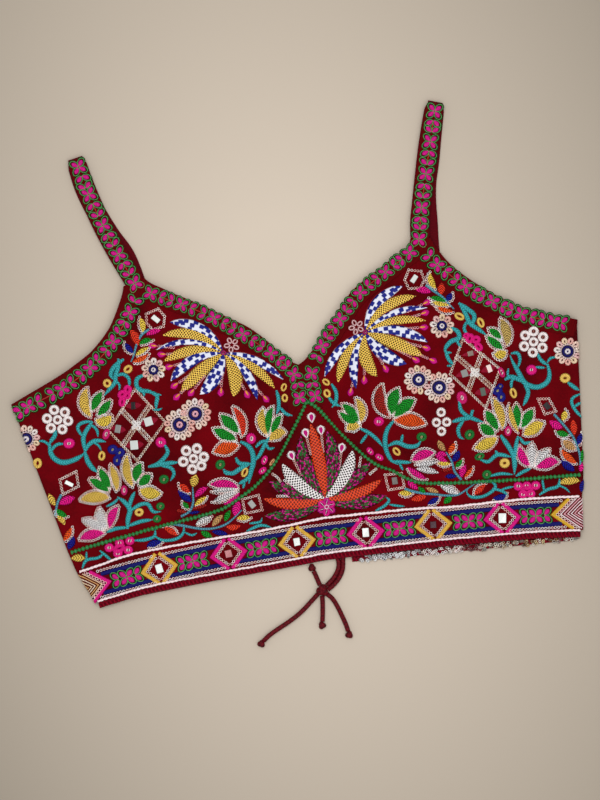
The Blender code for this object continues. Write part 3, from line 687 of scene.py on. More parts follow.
def band_of(bm, line, half, dye, sides=4, crown=0.7, lift=0.0, spot="#000000", pitch=1.0, closed=False):
    """A crowned band of stitches about a line in the plane, half as wide as this, closed below."""
    across = np.concatenate([np.linspace(-1, 1, sides + 1), [-1]])
    swell = np.minimum(1, half / max(half.max(), 1e-9) * 1.15) ** 0.6
    height = lift + crown * swell[:, None] * np.sqrt(np.clip(1 - across ** 2, 0, 1))[None, :]
    height[:, [0, -2, -1]] = -SUNK
    across = half[:, None] * across[None, :]
    left = left_of(directions(line, closed))
    rows = np.concatenate([line[:, None] + left[:, None] * across[:, :, None], height[:, :, None]], axis=2)
    marks = stitch_marks(distances(line), across) / pitch
    # Each is made and closed on its own, then carried into the large mesh: thousands go in quickly.
    small = new_mesh()
    patch(small, rows, marks, dye, spot)
    bmesh.ops.remove_doubles(small, verts=small.verts[:], dist=0.01)
    small.to_mesh(carrier)
    small.free()
    bm.from_mesh(carrier)


def ribbon(bm, path, widths, dye, step=1.5, **stitches):
    """A crowned band of stitches along a smooth path; its widths are spread evenly along it."""
    count = max(5, round(run_length(path) / step) + 1)
    half = np.interp(np.linspace(0, 1, count), np.linspace(0, 1, len(widths)), widths) / 2
    band_of(bm, spread(path, count), half, dye, **stitches)


def ring(bm, at, outer, inner, dye, stretch=1.0, turn=0.0, corners=12, sides=2, **stitches):
    """A crowned ring of stitches; stretch makes it longer along its turn."""
    turns = np.linspace(0, 2 * math.pi, corners + 1)
    middle = (outer + inner) / 2
    x, y = np.cos(turns) * (middle + (stretch - 1) * outer), np.sin(turns) * middle
    cos, sin = math.cos(math.radians(turn)), math.sin(math.radians(turn))
    line = np.stack([at[0] + x * cos - y * sin, at[1] + x * sin + y * cos], axis=1)
    band_of(bm, line, np.full(corners + 1, (outer - inner) / 2), dye, sides, closed=True, **stitches)


def arc(foot, tip, bend, count=7):
    """Points from foot to tip, whose middle lies to the left of the straight line by bend."""
    foot, tip = np.array(foot, dtype=float), np.array(tip, dtype=float)
    way = tip - foot
    left = np.array([-way[1], way[0]]) / np.linalg.norm(way)
    t = np.linspace(0, 1, count)[:, None]
    return foot + way * t + left * bend * 4 * t * (1 - t)


def leaf_widths(width, belly=0.5, count=11, full=0.65):
    t = np.linspace(0, 1, count) ** (math.log(0.5) / math.log(belly))
    return width * np.sin(math.pi * t) ** full


def leaf(bm, foot, tip, width, dye, bend=0.0, belly=0.5, full=0.65, **stitches):
    ribbon(bm, arc(foot, tip, bend), leaf_widths(width, belly, full=full), dye, **stitches)


def around(middle, angle, distance):
    return (middle[0] + distance * math.cos(angle), middle[1] + distance * math.sin(angle))


# The loops round a petal: outer and inner radius, dye and crown. The first and darker one is partly painted
# shade at the loop's sides.
PETAL_LOOPS = ((3.25, 1.2, LOOP_SHADE, 0.3), (2.7, 2.06, LOOP_GREEN, 0.75))


def ringed_petal(bm, hub, heading, bearing, size=1.0):
    """A magenta petal from a hub, in a loop of green chain stitch on a darker green ring, partly the thread's
    deeper green and partly painted shade.
    """
    angle = heading + math.radians(bearing)
    middle = around(hub, angle, 3.9 * size)
    for outer, inner, dye, crown in PETAL_LOOPS:
        ring(bm, middle, outer * size, inner * size, dye, crown=crown, stretch=1.36, turn=math.degrees(angle),
             corners=14)
    leaf(bm, hub, around(hub, angle, 6.0 * size), 4.3 * size, MAGENTA, belly=0.62, crown=0.5, lift=0.35,
         step=1.0)


def flower(bm, hub, heading, size=1.0):
    for bearing in (45, 135, 225, 315):
        ringed_petal(bm, hub, heading, bearing, size)


def petal_pair(bm, apex, heading, size=1.0, opening=52):
    for bearing in (-opening, opening):
        ringed_petal(bm, apex, heading, bearing, size)


PAIR_FROM_HUB = 7.0  # from a flower's hub to the apex of the pair that opens away from it
ROOM_FOR_TWO, ROOM_FOR_ONE = 22.5, 15.5  # the least distance between hubs with two pairs, or one, between


def flower_row(bm, hubs, size):
    """Flowers at these hubs, with what fits between: two pairs back to back, one pair, or nothing."""
    hubs = np.array(hubs, dtype=float)
    fine = spread(hubs, 40 * len(hubs))
    for k, hub in enumerate(hubs):
        near = int(np.argmin(np.linalg.norm(fine - hub, axis=1)))
        way = fine[min(near + 2, len(fine) - 1)] - fine[max(near - 2, 0)]
        flower(bm, hub, math.atan2(way[1], way[0]), size)
        if k + 1 == len(hubs):
            break
        stretch = fine[near:int(np.argmin(np.linalg.norm(fine - hubs[k + 1], axis=1))) + 1]
        room = run_length(stretch)
        line = spread(stretch, 61)
        first, last = PAIR_FROM_HUB / room, 1 - PAIR_FROM_HUB / room
        apexes = [(first, 1)] if room > ROOM_FOR_ONE else []
        if room > ROOM_FOR_TWO:
            apexes.append((last, -1))
        for share, forward in apexes:
            spot_at = round(share * 60)
            way = (line[min(spot_at + 1, 60)] - line[spot_at - 1]) * forward
            petal_pair(bm, line[spot_at], math.atan2(way[1], way[0]), size)
        if len(apexes) == 2:
            dash = line[round(first * 60):round(last * 60) + 1:4]
            ribbon(bm, dash, (0.6, 1.1, 1.1, 0.6), DASH_RED, crown=0.4, sides=2)


def thread_finish(name, roughness, rib, slant, depth, dark, distance):
    """Dyed embroidery thread whose stitches lie rib millimetres apart and slant back from the middle, with
    shade painted in the dark colour in the furrows between them.
    """
    finish, tree = new_finish(name, Roughness=roughness, Specular_IOR_Level=0.12)
    dye = add(tree, "ShaderNodeAttribute", attribute_name="dye")
    marks = add(tree, "ShaderNodeUVMap", uv_map="stitch")
    split = add(tree, "ShaderNodeSeparateXYZ", {0: marks})
    side = add(tree, "ShaderNodeMath", {0: split.outputs["Y"]}, operation="ABSOLUTE")
    back = add(tree, "ShaderNodeMath", {0: side, 1: slant, 2: split}, operation="MULTIPLY_ADD")
    wobble = add(tree, "ShaderNodeTexNoise", {"Vector": marks, "Scale": 1.1, "Detail": 2.0})
    along = add(tree, "ShaderNodeMath", {0: wobble, 1: rib * 0.8, 2: back}, operation="MULTIPLY_ADD")
    phase = add(tree, "ShaderNodeMath", {0: along, 1: 2 * math.pi / rib}, operation="MULTIPLY")
    wave = add(tree, "ShaderNodeMath", {0: phase}, operation="SINE")
    stitches = add(tree, "ShaderNodeMath", {0: wave, 1: 0.5, 2: 0.5}, operation="MULTIPLY_ADD")
    # Painted shade: the colour goes to dark in the furrows between the stitches.
    shade = add(tree, "ShaderNodeValToRGB", {"Fac": stitches}, stops={0: dark, 0.55: "#ffffff"})
    add(tree, "ShaderNodeMix", {"Factor": 1.0, 6: dye, 7: shade}, "Base Color", data_type="RGBA",
        blend_type="MULTIPLY")
    add(tree, "ShaderNodeBump", {"Height": stitches, "Strength": depth, "Distance": distance}, "Normal")
    return finish


# Rayon satin stitch: bright, close threads that slant back from a leaf's middle. Real threads lie
# 0.4 mm apart and are drawn 1.1 mm apart, or they wouldn't show.
border_stitch = thread_finish("rayon satin stitch, small", 0.45, 1.1, 0.7, 0.5, "#a89a9a", 0.0003)
# The same on larger leaves: coarser, over a padding, with deeper painted shade in its furrows.
satin_stitch = thread_finish("rayon satin stitch, padded", 0.4, 1.9, 0.8, 0.9, "#3c3638", 0.0006)
# Rayon chain stitch: a row of interlinked loops, each a small forward-pointing V.
chain_stitch = thread_finish("rayon chain stitch", 0.5, 1.9, -0.9, 0.8, "#8fa0a0", 0.0004)
# Grosgrain tape: a warp-faced ribbon with fine cross ribs, dyed as deep as the velvet.
tape, tree = new_finish("maroon grosgrain tape", Roughness=0.85, Specular_IOR_Level=0.04)
marks = add(tree, "ShaderNodeUVMap", uv_map="stitch")
ribs = add(tree, "ShaderNodeTexWave", {"Vector": marks, "Scale": 0.32, "Distortion": 0.6}).outputs["Fac"]
add(tree, "ShaderNodeValToRGB", {"Fac": ribs}, "Base Color", {0: "#3e0305", 1: "#660409"})
add(tree, "ShaderNodeBump", {"Height": ribs, "Strength": 0.4, "Distance": 0.0002}, "Normal")

# Where the border runs down the centre: its foot above the seam cord, and how high its inner corner is.
GORE = {
    "left": ([(-20.5, 115.2), (-14, 122.7), (-7.5, 131.2)], 148.3),
    "right": ([(-7.5, 131.4), (-1, 127), (5.5, 120)], 149.3),
}
NECK_FLOWER = 0.93  # the size of a flower at the neck, to the others
HUBS = {
    "neck_left": [(-108.5, 224.5), (-87, 212.7), (-65, 198.8), (-45.5, 183.5), (-26.5, 166.5),
                  (-11.9, 148.3), (-10.4, 130.3)],
    "neck_right": [(87.5, 225), (67.5, 213.5), (46.5, 201), (28.5, 183.8), (12, 166), (1.3, 147),
                   (1.2, 129.8)],
    "arm_left": [(-126.3, 212.6), (-142, 192.9), (-161.8, 176.6), (-185.1, 164.1), (-212.2, 154.9)],
    "arm_right": [(106.5, 213), (124.5, 193.5), (143, 179.3), (163, 167), (186, 157.5)],
    "strap_left": [(-147.6, 326.5), (-143.2, 305), (-136.4, 280.5), (-128.2, 257), (-119.2, 234)],
    "strap_right": [(122.3, 327), (115.6, 305), (108.6, 281.5), (101.6, 257), (96, 234)],
}
# Single pairs that fill what is left at the joints and the sides: x, y and the bearing they open to.
EXTRA_PAIRS = {
    "strap_left": [(-144.8, 309.6, 102)],
    "arm_left": [(-121.8, 219.6, 59), (-218.0, 152.4, 205)],
    "arm_right": [(102.4, 219.5, 128), (191.5, 155.8, -22)],
}
for hand, out in OUT.items():
    centre = NECK[hand][0]
    edge = np.vstack([NECK[hand][:3], spread(NECK[hand][2:], 60)[1:]])
    inner = beside(edge, -out * BORDER)
    foot, corner = GORE[hand]
    outermost = foot[0][0] if hand == "left" else foot[-1][0]
    inner = inner[((inner[:, 0] - outermost) * out > 0) & (inner[:, 1] > corner)]
    inner = np.vstack([[(outermost, corner)], inner])
    low, high = TAPE_HEIGHTS
    bm = wall(spread(inner, 60), spread(np.vstack([[centre], edge[1:]]), 60), 6, low, high, rim=0.2)
    wall(spread(foot, 7), spread([(outermost, corner), centre][::-out], 7), 14, low, high, rim=0.2, bm=bm)
    neck = new_piece(f"neck_tape_{hand}", bm, tape, "border_tape", f"border_neck_{hand}", lay=on_front)
    edge = spread(ARM[hand], 60)
    bm = wall(beside(edge, -out * BORDER), edge, 6, low, high, rim=0.2)
    arm = new_piece(f"arm_tape_{hand}", bm, tape, "border_tape", f"border_arm_{hand}", lay=on_front)
    line = spread(STRAP_UP[hand], 50)
    line = np.vstack([line[0] - (line[1] - line[0]) * 4, line])
    offset = left_of(directions(line)) * (STRAP_WIDTH - 1.5) / 2 * drawn_in(line, line[-1])
    low, high = STRAP_TAPE_HEIGHTS
    bm = wall(line + offset, line - offset, 6, low, high, rim=0.2)
    run = new_piece(f"strap_tape_{hand}", bm, tape, "border_tape", lay=on_front)
    for piece, row in ((neck, f"neck_{hand}"), (arm, f"arm_{hand}"), (run, f"strap_{hand}")):
        bm = new_mesh()
        flower_row(bm, HUBS[row], NECK_FLOWER if piece is neck else 1.0)
        for x, y, bearing in EXTRA_PAIRS.get(row, []):
            petal_pair(bm, (x, y), math.radians(bearing))
        rise = high if piece is run else TAPE_HEIGHTS[1]
        stitched = new_piece(f"{row}_flowers", bm, border_stitch, "thread", mended=0,
                             lay=lambda points: on_front(points + (0, 0, rise)))


# ================================================================ the corded seams and the hem braid
# A cord of dark green gimp, knotted into beads, covers the seam beneath the cups. Twisted white cord
# edges the hem band above and below, and a maroon gimp braid is sewn along the hem.
GREEN_CORD, WHITE_CORD = 2.8, 2.0
CORD_LOW = CLOTH / 2 + 0.3
BEAD_PITCH = 3.0
PLY_PITCH = 3.2
FRONT_BRAID = {"width": 5.2, "low": -0.9, "face": 0.1, "high": 1.6}


def fold_to_fold(table):
    """A line from where the left side's fold starts to where the right side's does."""
    return to_fold(table["left"], "left")[::-1] + to_fold(table["right"], "right")[1:]


def even_line(line, step):
    """A smooth line with its points a step apart, and the distance of each from its start."""
    count = round(run_length(line) / step)
    line = spread(line, count)
    return line, np.linspace(0, run_length(line), count)


def at_height(line, z):
    return np.column_stack([line, np.full(len(line), z)])


# Rayon gimp, dyed green, wound tightly over a cotton core, with shade painted near black between the
# windings.
green_gimp, tree = new_finish("green rayon gimp", Roughness=0.4)
marks = add(tree, "ShaderNodeUVMap", uv_map="stitch")
wound = add(tree, "ShaderNodeTexWave", {"Vector": marks, "Scale": 0.5, "Distortion": 0.8}).outputs["Fac"]
# The ramp paints shade near black between the windings.
add(tree, "ShaderNodeValToRGB", {"Fac": wound}, "Base Color", {0: "#04280c", 1: "#189a44"})
add(tree, "ShaderNodeBump", {"Height": wound, "Strength": 0.4, "Distance": 0.0002}, "Normal")
# Two-ply cotton cord, bleached, with random pinkish patches along it.
white_cord, tree = new_finish("white two-ply cotton cord", Roughness=0.8)
marks = add(tree, "ShaderNodeUVMap", uv_map="stitch")
hairs = add(tree, "ShaderNodeTexNoise", {"Vector": marks, "Scale": 1.4, "Detail": 4.0})
add(tree, "ShaderNodeValToRGB", {"Fac": hairs}, "Base Color", {0.36: "#dba8ae", 0.6: "#fdf6f6"})

for hand in OUT:
    line, lengths = even_line(to_fold(UNDERBUST[hand], hand), BEAD_PITCH / 8)
    # It keeps to the right of the seam where that climbs to the centre.
    line[:, 0] += 1.8 * np.clip((line[:, 1] - 75) / 45, 0, 1)
    beads = np.clip(np.abs(np.sin(math.pi * lengths / BEAD_PITCH)) * 1.25, 0, 1) ** 1.3
    line = at_height(line, CORD_LOW + GREEN_CORD / 2 - 0.3)
    bm = close_holes(rope(line, GREEN_CORD * (0.15 + 0.41 * beads)))
    new_piece(f"underbust_gimp_{hand}", bm, green_gimp, "green_cord", f"underbust_cord_{hand}", lay=on_front)

# Each cord: its name, its way and how thick its core is, as a share of its width.
for name, table, core in (("upper", BAND_TOP, 0.44), ("lower", BAND_BOTTOM, 0.38)):
    line, lengths = even_line(fold_to_fold(table), PLY_PITCH / 5)
    turns = np.linspace(0, 2 * math.pi, 9)
    plies = np.cos(2 * (turns[None, :] - math.pi * lengths[:, None] / PLY_PITCH))
    line = at_height(line, CORD_LOW + WHITE_CORD / 2 - 0.2)
    bm = close_holes(rope(line, WHITE_CORD * (core + 0.09 * plies), 8))
    new_piece(f"band_cord_{name}", bm, white_cord, "white_piping", f"band_piping_{name}", lay=on_front)

line, _ = even_line(fold_to_fold(BAND_BOTTOM), BRAID_STEP)
bm = braid(line - (0, SEAM_GAP), **FRONT_BRAID)
new_piece("hem_braid", bm, gimp, "braid", "hem_braid_front", lay=on_front)


# ================================================================ the fan flowers
# On each cup a spray of eleven long petals spreads from one point: net-stitched gold ones between white
# ones woven with navy. Sequin stamens with magenta tips stand between them.
GOLD, WHITE, NAVY, SEED = "#f3c956", "#dfe2f0", "#131c7c", "#3a0c04"
NET_PITCH, WOVEN_PITCH = 1.75, 3.9
# Each petal: its tip, its width, how far its middle lies left of its straight line, and its kind.
FANS = {
    "left": {"hub": (-62, 172), "small_flower": (-55, 177), "petals": [
        (-98, 201, 8.5, -7, "woven"), (-105, 192, 8, -7, "net"), (-111, 182, 4.5, -7, "woven"),
        (-107, 172.5, 8, -5, "net"), (-104, 157, 8.5, -6, "woven"), (-97.5, 148, 10, -1.5, "net"),
        (-84, 144, 10.5, 3.5, "woven"), (-60, 138.5, 10.5, 5, "net"), (-42.5, 133.5, 7, 5, "woven"),
        (-28, 140, 7.5, 4, "net"), (-20, 145.5, 6.5, 4.5, "woven")],
        "stamens": [(-113, 185.5), (-107.5, 178), (-103.5, 168), (-101.5, 153.5), (-101, 145), (-90, 146.5),
                    (-68.5, 143.5), (-49.5, 139), (-36, 133.5)]},
    "right": {"hub": (46, 171), "small_flower": (40, 176), "petals": [
        (79, 201, 8.5, 7, "woven"), (87.5, 192, 8, 6.5, "net"), (94.5, 182, 5, 5.5, "woven"),
        (92, 172.5, 6.5, 4.5, "net"), (91, 156.5, 8, 5, "woven"), (86, 147, 10, 1, "net"),
        (73, 143, 10, -4.5, "woven"), (50, 137, 10, -5, "net"), (33, 130.5, 7, -5, "woven"),
        (20, 137, 8, -4, "net"), (10.5, 143, 7, -5, "woven")],
        "stamens": [(94.5, 186), (92, 178.5), (89.5, 168), (89, 152.5), (92.5, 142.5), (80, 145),
                    (57, 142), (40, 136), (28.5, 129)]},
}
SEQUIN = {"outer": 1.36, "inner": 0.6, "crown": 0.45, "lift": 0.2}
SEQUIN_PITCH = 2.5
SEQUIN_SHADES = ("#fff2ee", "#ffffff", "#ffdad2", "#fff6ec", "#ffe6e0")
shade_order = np.random.default_rng(11)
sequins = {"left": new_mesh(), "right": new_mesh(), "band": new_mesh()}


def region(x):
    """Which cup a stitch at x belongs to."""
    return "left" if x < -8 else "right"


def pick(shades):
    return shades[int(shade_order.integers(len(shades)))]


def sequin(at, shades=SEQUIN_SHADES, to=None, size=1.0):
    """One cupped sequin, sewn down through its hole."""
    ring(sequins[to or region(at[0])], at, SEQUIN["outer"] * size, SEQUIN["inner"] * size, pick(shades),
         crown=SEQUIN["crown"], lift=SEQUIN["lift"], corners=8)


def sequin_row(path, pitch=SEQUIN_PITCH, shades=SEQUIN_SHADES, to=None, size=1.0, closed=False):
    """Sequins at even steps along a line."""
    path = [*path, path[0]] if closed else path
    count = max(2, round(run_length(path) / pitch) + 1)
    for point in spread(path, count)[:-1 if closed else None]:
        sequin(point, shades, to, size)


def straight_row(corners, closed=False, pitch=SEQUIN_PITCH, **how):
    """Sequins along straight sides, corner to corner."""
    corners = [*corners, corners[0]] if closed else corners
    for a, b in zip(corners, corners[1:]):
        count = max(2, round(math.dist(a, b) / pitch) + 1)
        for share in np.linspace(0, 1, count)[:-1]:
            sequin((a[0] + (b[0] - a[0]) * share, a[1] + (b[1] - a[1]) * share), **how)
    if not closed:
        sequin(corners[-1], **how)


fan_nets, fan_weaves, fan_thread = new_mesh(), new_mesh(), new_mesh()
FAN_FILLINGS = {"net": (fan_nets, GOLD, SEED, NET_PITCH), "woven": (fan_weaves, WHITE, NAVY, WOVEN_PITCH)}
for fan in FANS.values():
    hub = fan["hub"]
    for k, (x, y, width, bend, kind) in enumerate(fan["petals"]):
        bm, dye, spot, pitch = FAN_FILLINGS[kind]
        leaf(bm, hub, (x, y), width * 1.06, dye, bend, belly=0.56, spot=spot, pitch=pitch, crown=0.8,
             lift=0.05 * (k % 3), step=2.0, sides=6)
        rib = arc(hub, (x, y), bend)
        half = leaf_widths(width, 0.56, len(rib))[:, None] / 2 + 0.35
        rim = rib + left_of(directions(rib)) * half * (1 if bend > 0 else -1)
        ribbon(fan_thread, rim[:-1], (0.5, 1.0, 0.8, 0.5), "#8e1420", crown=0.5, sides=2)
    # A stamen: a row of pink sequins up to a magenta tip with an orange heart.
    for x, y in fan["stamens"]:
        away = math.atan2(y - hub[1], x - hub[0])
        near, far = around((x, y), away + math.pi, 15.5), around((x, y), away + math.pi, 4.5)
        sequin_row([near, far], pitch=1.9, shades=("#efa9b0", "#f3c3bd", "#e88f9e"), size=0.8)
        foot = around((x, y), away + math.pi, 3.6)
        tip = around((x, y), away, 3.6)
        leaf(fan_thread, foot, tip, 5.2, MAGENTA, belly=0.6, crown=0.7)
        leaf(fan_thread, around(foot, away, 0.2), around(tip, away, -2.2), 2.0, "#f0a23c", belly=0.55,
             crown=0.5, lift=0.6)
    for k in range(5):
        angle = math.radians(36 + 72 * k)
        spot_at = around(fan["small_flower"], angle, 3.6)
        ring(fan_thread, spot_at, 2.0, 0.7, "#f2c6c8", crown=0.6, stretch=1.3, turn=math.degrees(angle))
    ring(fan_thread, hub, 2.0, 0.4, "#b22a6c", crown=0.9, lift=0.2)


def lattice_finish(name, eye, edge, uneven, power, scale, turn):
    """Thread of one dye laid in a lattice, scaled and turned, with eyes of the other dye between."""
    finish, tree = new_finish(name, Roughness=0.5, Specular_IOR_Level=0.2)
    dye = add(tree, "ShaderNodeAttribute", attribute_name="dye")
    spot = add(tree, "ShaderNodeAttribute", attribute_name="spot")
    marks = add(tree, "ShaderNodeUVMap", uv_map="stitch")
    turned = add(tree, "ShaderNodeMapping", {"Vector": marks, "Scale": (*scale, 1),
                                             "Rotation": (0, 0, math.radians(turn))})
    cells = {"Vector": turned, "Scale": 1.0, "Exponent": power, "Randomness": uneven}
    eyes = add(tree, "ShaderNodeTexVoronoi", cells, voronoi_dimensions="2D", distance="MINKOWSKI")
    filled = add(tree, "ShaderNodeMapRange", {"Value": eyes, "From Min": eye, "From Max": edge})
    add(tree, "ShaderNodeMix", {"Factor": filled, 6: spot, 7: dye}, "Base Color", data_type="RGBA")
    add(tree, "ShaderNodeBump", {"Height": filled, "Strength": 0.7, "Distance": 0.0004}, "Normal")
    return finish


# Net stitch: rayon laid over a padding in a lattice, with the ground dark in every eye.
net_stitch = lattice_finish("rayon net stitch", 0.31, 0.4, 0.12, 2.0, scale=(1.2, 0.95), turn=45)
# Pattern darning: navy blocks woven through white rayon, no two quite alike.
darning = lattice_finish("rayon pattern darning", 0.46, 0.54, 0.65, 1.1, scale=(0.85, 0.95), turn=38)


def on_cloth(points):
    """Laid on the face of the front's cloth, drawn in where the cups rise towards the eye."""
    points = np.array(points, dtype=float)
    nearer = front_height(points[:, 0], points[:, 1]) * MM / CAMERA_HEIGHT
    points[:, :2] -= (points[:, :2] - np.array(CAMERA_SPOT) / MM - BOX_MIDDLE) * nearer[:, None]
    return on_front(np.maximum(points, (-1e6, -1e6, 0.03)) + (0, 0, CLOTH / 2))


def embroider(name, bm, finish, slot="thread"):
    """A finished piece of embroidery on the cloth."""
    return new_piece(name, bm, finish, slot, lay=on_cloth, mended=0)


embroider("fan_nets", fan_nets, net_stitch)
embroider("fan_weaves", fan_weaves, darning)
embroider("fan_edges", fan_thread, border_stitch)


# ================================================================ the vines
# Teal branches in thick chain stitch wander between the flowers. The finer stems of the leaf sprays are
# a greyer blue, in stem stitch.
TEAL, STEM_BLUE = "#3aa9ae", "#5796aa"
# Each branch: its width, then its way.
VINES = [
    # the left cup
    (3.6, [(-136, 179), (-140, 177), (-145, 173.5), (-147.5, 169), (-146, 165)]),
    (3.4, [(-140, 180), (-141, 174), (-144, 168), (-145, 163), (-150, 158.5), (-155, 154)]),
    (2.8, [(-144, 167), (-138.5, 168), (-134.5, 164), (-135, 157)]),
    (2, [(-144, 164), (-142, 160), (-143, 156.5)]),
    (3.4, [(-122, 165), (-128, 163), (-129.5, 158), (-127, 154), (-120.5, 152), (-117, 148)]),
    (3, [(-120, 152), (-115.5, 148), (-117, 142), (-117.5, 138)]),
    (2.4, [(-127, 156), (-125, 152), (-125, 149)]), (1.8, [(-118, 149.5), (-115, 149), (-112, 148)]),
    (1.8, [(-120, 138), (-116, 137.5), (-113, 138.5)]),
    (3.4, [(-195, 134.2), (-196.3, 130.2), (-199.3, 127.2), (-200.9, 125)]),
    (2.2, [(-208.4, 128.2), (-205.5, 127.7), (-203.2, 126.1), (-201.3, 123.1)]),
    (4, [(-200.9, 125.9), (-201.2, 118.7), (-198.9, 113.3), (-193.2, 109.6), (-185.6, 110),
           (-178.9, 112.4), (-175.5, 115)]),
    (2.6, [(-191.1, 123.4), (-194.8, 123.7), (-198.2, 122), (-200.3, 118.9)]),
    (2.8, [(-167, 136.5), (-171.3, 137.1), (-176.2, 136.2), (-178.3, 133.4), (-177.2, 129.5),
           (-175, 125.7)]),
    (3.6, [(-166.7, 136.6), (-170.1, 132.8), (-173.5, 128.9), (-175.4, 124.8), (-175.6, 119.8),
           (-175.8, 114.5)]),
    (2.4, [(-168.9, 134.5), (-165.8, 132.1), (-164.1, 128.7), (-164.3, 124.6)]),
    (3.4, [(-175.9, 114.5), (-172.9, 119), (-168.7, 121.5), (-164.2, 121.8), (-158.6, 119.8)]),
    (2, [(-168.7, 121.4), (-164.8, 118.1), (-163.1, 113.8)]),
    (3.8, [(-175.7, 115.1), (-174.8, 108.3), (-172.5, 102.9), (-168.8, 98.3)]),
    (3.2, [(-115.5, 111), (-114, 106), (-117, 102), (-123, 98), (-130, 96.5)]),
    (3.4, [(-130, 97), (-119, 97.5), (-107, 97)]), (2.8, [(-120, 96), (-114, 94), (-112, 89), (-115.5, 84)]),
    (3.2, [(-27, 138.5), (-26.5, 132), (-27.5, 125), (-30, 121)]),
    (2.8, [(-18, 118), (-23, 120.5), (-26.5, 126)]),
    (4, [(-60, 105), (-54.5, 101), (-52, 95), (-52.5, 88), (-55.5, 81), (-58, 73)]),
    (3, [(-38, 105), (-42, 100), (-47, 93), (-51.5, 89)]), (2.6, [(-49, 99), (-45, 102), (-40, 103)]),
    (2.4, [(-41, 101), (-39.5, 96.5), (-35, 96.5)]), (3.2, [(-65, 94), (-62.5, 89), (-54, 87.5)]),
    (3.4, [(-74, 85), (-69, 82.5), (-62, 85.5), (-54, 88)]), (2.4, [(-75, 87), (-74, 83.5), (-70, 82.5)]),
    (3, [(-57, 79), (-60, 76), (-66, 74)]), (2.2, [(-61, 74.5), (-63, 70)]),
    (4, [(-153, 53), (-151.5, 60), (-149, 67), (-152, 73), (-157, 78)]),
    (3.2, [(-150, 67), (-147, 74), (-143, 80)]),
    (3.2, [(-149, 66), (-141, 69.5), (-135, 69), (-132, 63), (-126, 62)]),
    (3, [(-152, 55), (-142, 57), (-133, 57)]), (3, [(-153, 54), (-162, 54.5), (-169, 52.5)]),
    (2.2, [(-166, 72), (-160, 74), (-156, 77)]),
    # the right cup
    (3.2, [(15, 137), (17.5, 130), (16, 123), (12.5, 119.5)]), (2.8, [(11, 128), (14, 123), (19, 119.5)]),
    (3.6, [(118, 182), (123.5, 177), (128, 171.5), (126, 166), (121, 166)]),
    (3.6, [(119, 180), (122, 173), (124, 166), (130, 160), (135, 155)]),
    (2.6, [(121, 167), (119, 162), (121, 158)]),
    (3.6, [(109, 165), (114, 161), (114, 156), (108, 154.5), (103, 150), (102.5, 146)]),
    (3, [(103, 148), (104, 142), (107, 137)]), (1.8, [(103, 147), (107, 146)]),
    (1.8, [(102, 137), (106, 136.5)]), (2.2, [(112, 157), (113, 152), (115, 149)]),
    (3, [(171, 136), (172.5, 131), (177, 126)]), (2.2, [(177, 128), (180, 131), (184, 131)]),
    (4, [(177, 127), (177.5, 120), (175, 114), (168, 111), (161, 113), (157, 117), (154, 125),
           (151, 133), (150, 138)]),
    (2.8, [(151, 139), (156, 138.5), (157, 133), (154, 127)]), (2.2, [(168, 126), (175, 124.5)]),
    (3.4, [(143, 120), (149, 121.5), (157, 116)]), (2.4, [(151, 121), (148, 118), (147, 113)]),
    (2, [(147, 128), (146, 123), (149, 121)]), (3.4, [(157, 116), (159.5, 109), (157, 103), (154, 99)]),
    (3.2, [(190, 111), (194, 107), (197, 104)]),
    (3.2, [(107, 110), (107.5, 103), (111.5, 98), (118, 94), (123, 91.5)]),
    (3.2, [(100, 95.5), (108, 96.5), (114, 95.5)]), (3, [(108, 95), (103.5, 90), (103.5, 84), (106.5, 81.5)]),
    (2.4, [(114, 96.5), (115.5, 101), (117, 101.5)]),
    (3.6, [(57, 103), (51.5, 97.5), (48.5, 90.5), (48, 82), (50.5, 74), (55, 70)]),
    (3, [(31, 101), (37, 97), (42.5, 91), (46, 85)]), (2.4, [(30, 90), (34, 94), (36, 96)]),
    (3.4, [(50, 85), (57, 86.5), (64, 82.5), (71, 82), (75, 86)]), (2.4, [(60, 86), (62, 92)]),
    (2.8, [(52, 73), (58, 71.5), (65, 70)]), (2.2, [(56, 71), (58, 65)]),
    (4, [(134, 80), (138, 72), (141.5, 62), (140, 49)]), (3.2, [(147, 77), (144, 69), (142, 60)]),
    (2.6, [(148, 76), (151, 71), (156, 71.5)]), (3.2, [(116.5, 64), (122, 61.5), (130, 65.5), (140, 62)]),
    (2.6, [(130, 65), (128.5, 69)]), (3, [(121, 50.5), (130, 51), (139, 49)]),
    (3.2, [(141, 47.5), (147, 50), (153, 51.5)]), (2.6, [(197, 101), (191.5, 98.5), (191, 93), (196, 83)]),
    (2.2, [(192, 92), (197, 95)]),
    # the midriff, left and right of the lotus
    (3, [(-191, 29), (-187, 34.5), (-178, 35), (-173, 38)]), (2.2, [(-187, 35), (-186, 41)]),
    (2.6, [(-176, 40), (-172, 35.5), (-168, 31)]),
    (3.2, [(-149, 43.5), (-141, 43), (-134, 44.5), (-132.5, 50)]),
    (3, [(-134, 45), (-128, 40.5), (-118, 40), (-112, 44), (-111, 50.5)]),
    (2.2, [(-111, 44), (-106, 41), (-102, 42)]), (3, [(-65, 37.5), (-57, 40), (-52, 40), (-46, 37.5)]),
    (2.4, [(-62, 43), (-54, 43), (-52, 46)]), (3, [(33, 38), (40, 40.5), (44, 44), (42, 47)]),
    (2.4, [(44, 41), (50, 39), (55, 38)]),
    (3, [(110, 47), (122, 46.5), (124, 41), (115, 36.5), (106, 37), (102.5, 41), (104, 44)]),
    (2.8, [(122, 41), (129, 38), (133, 34)]), (2.4, [(128, 39), (134, 40), (138, 40)]),
    (3.2, [(156, 31), (163, 34), (171, 35.5), (173, 42)]), (2.4, [(160, 33), (160, 40), (160, 43)]),
    (2, [(171, 36), (176, 33), (179, 29)]),
]
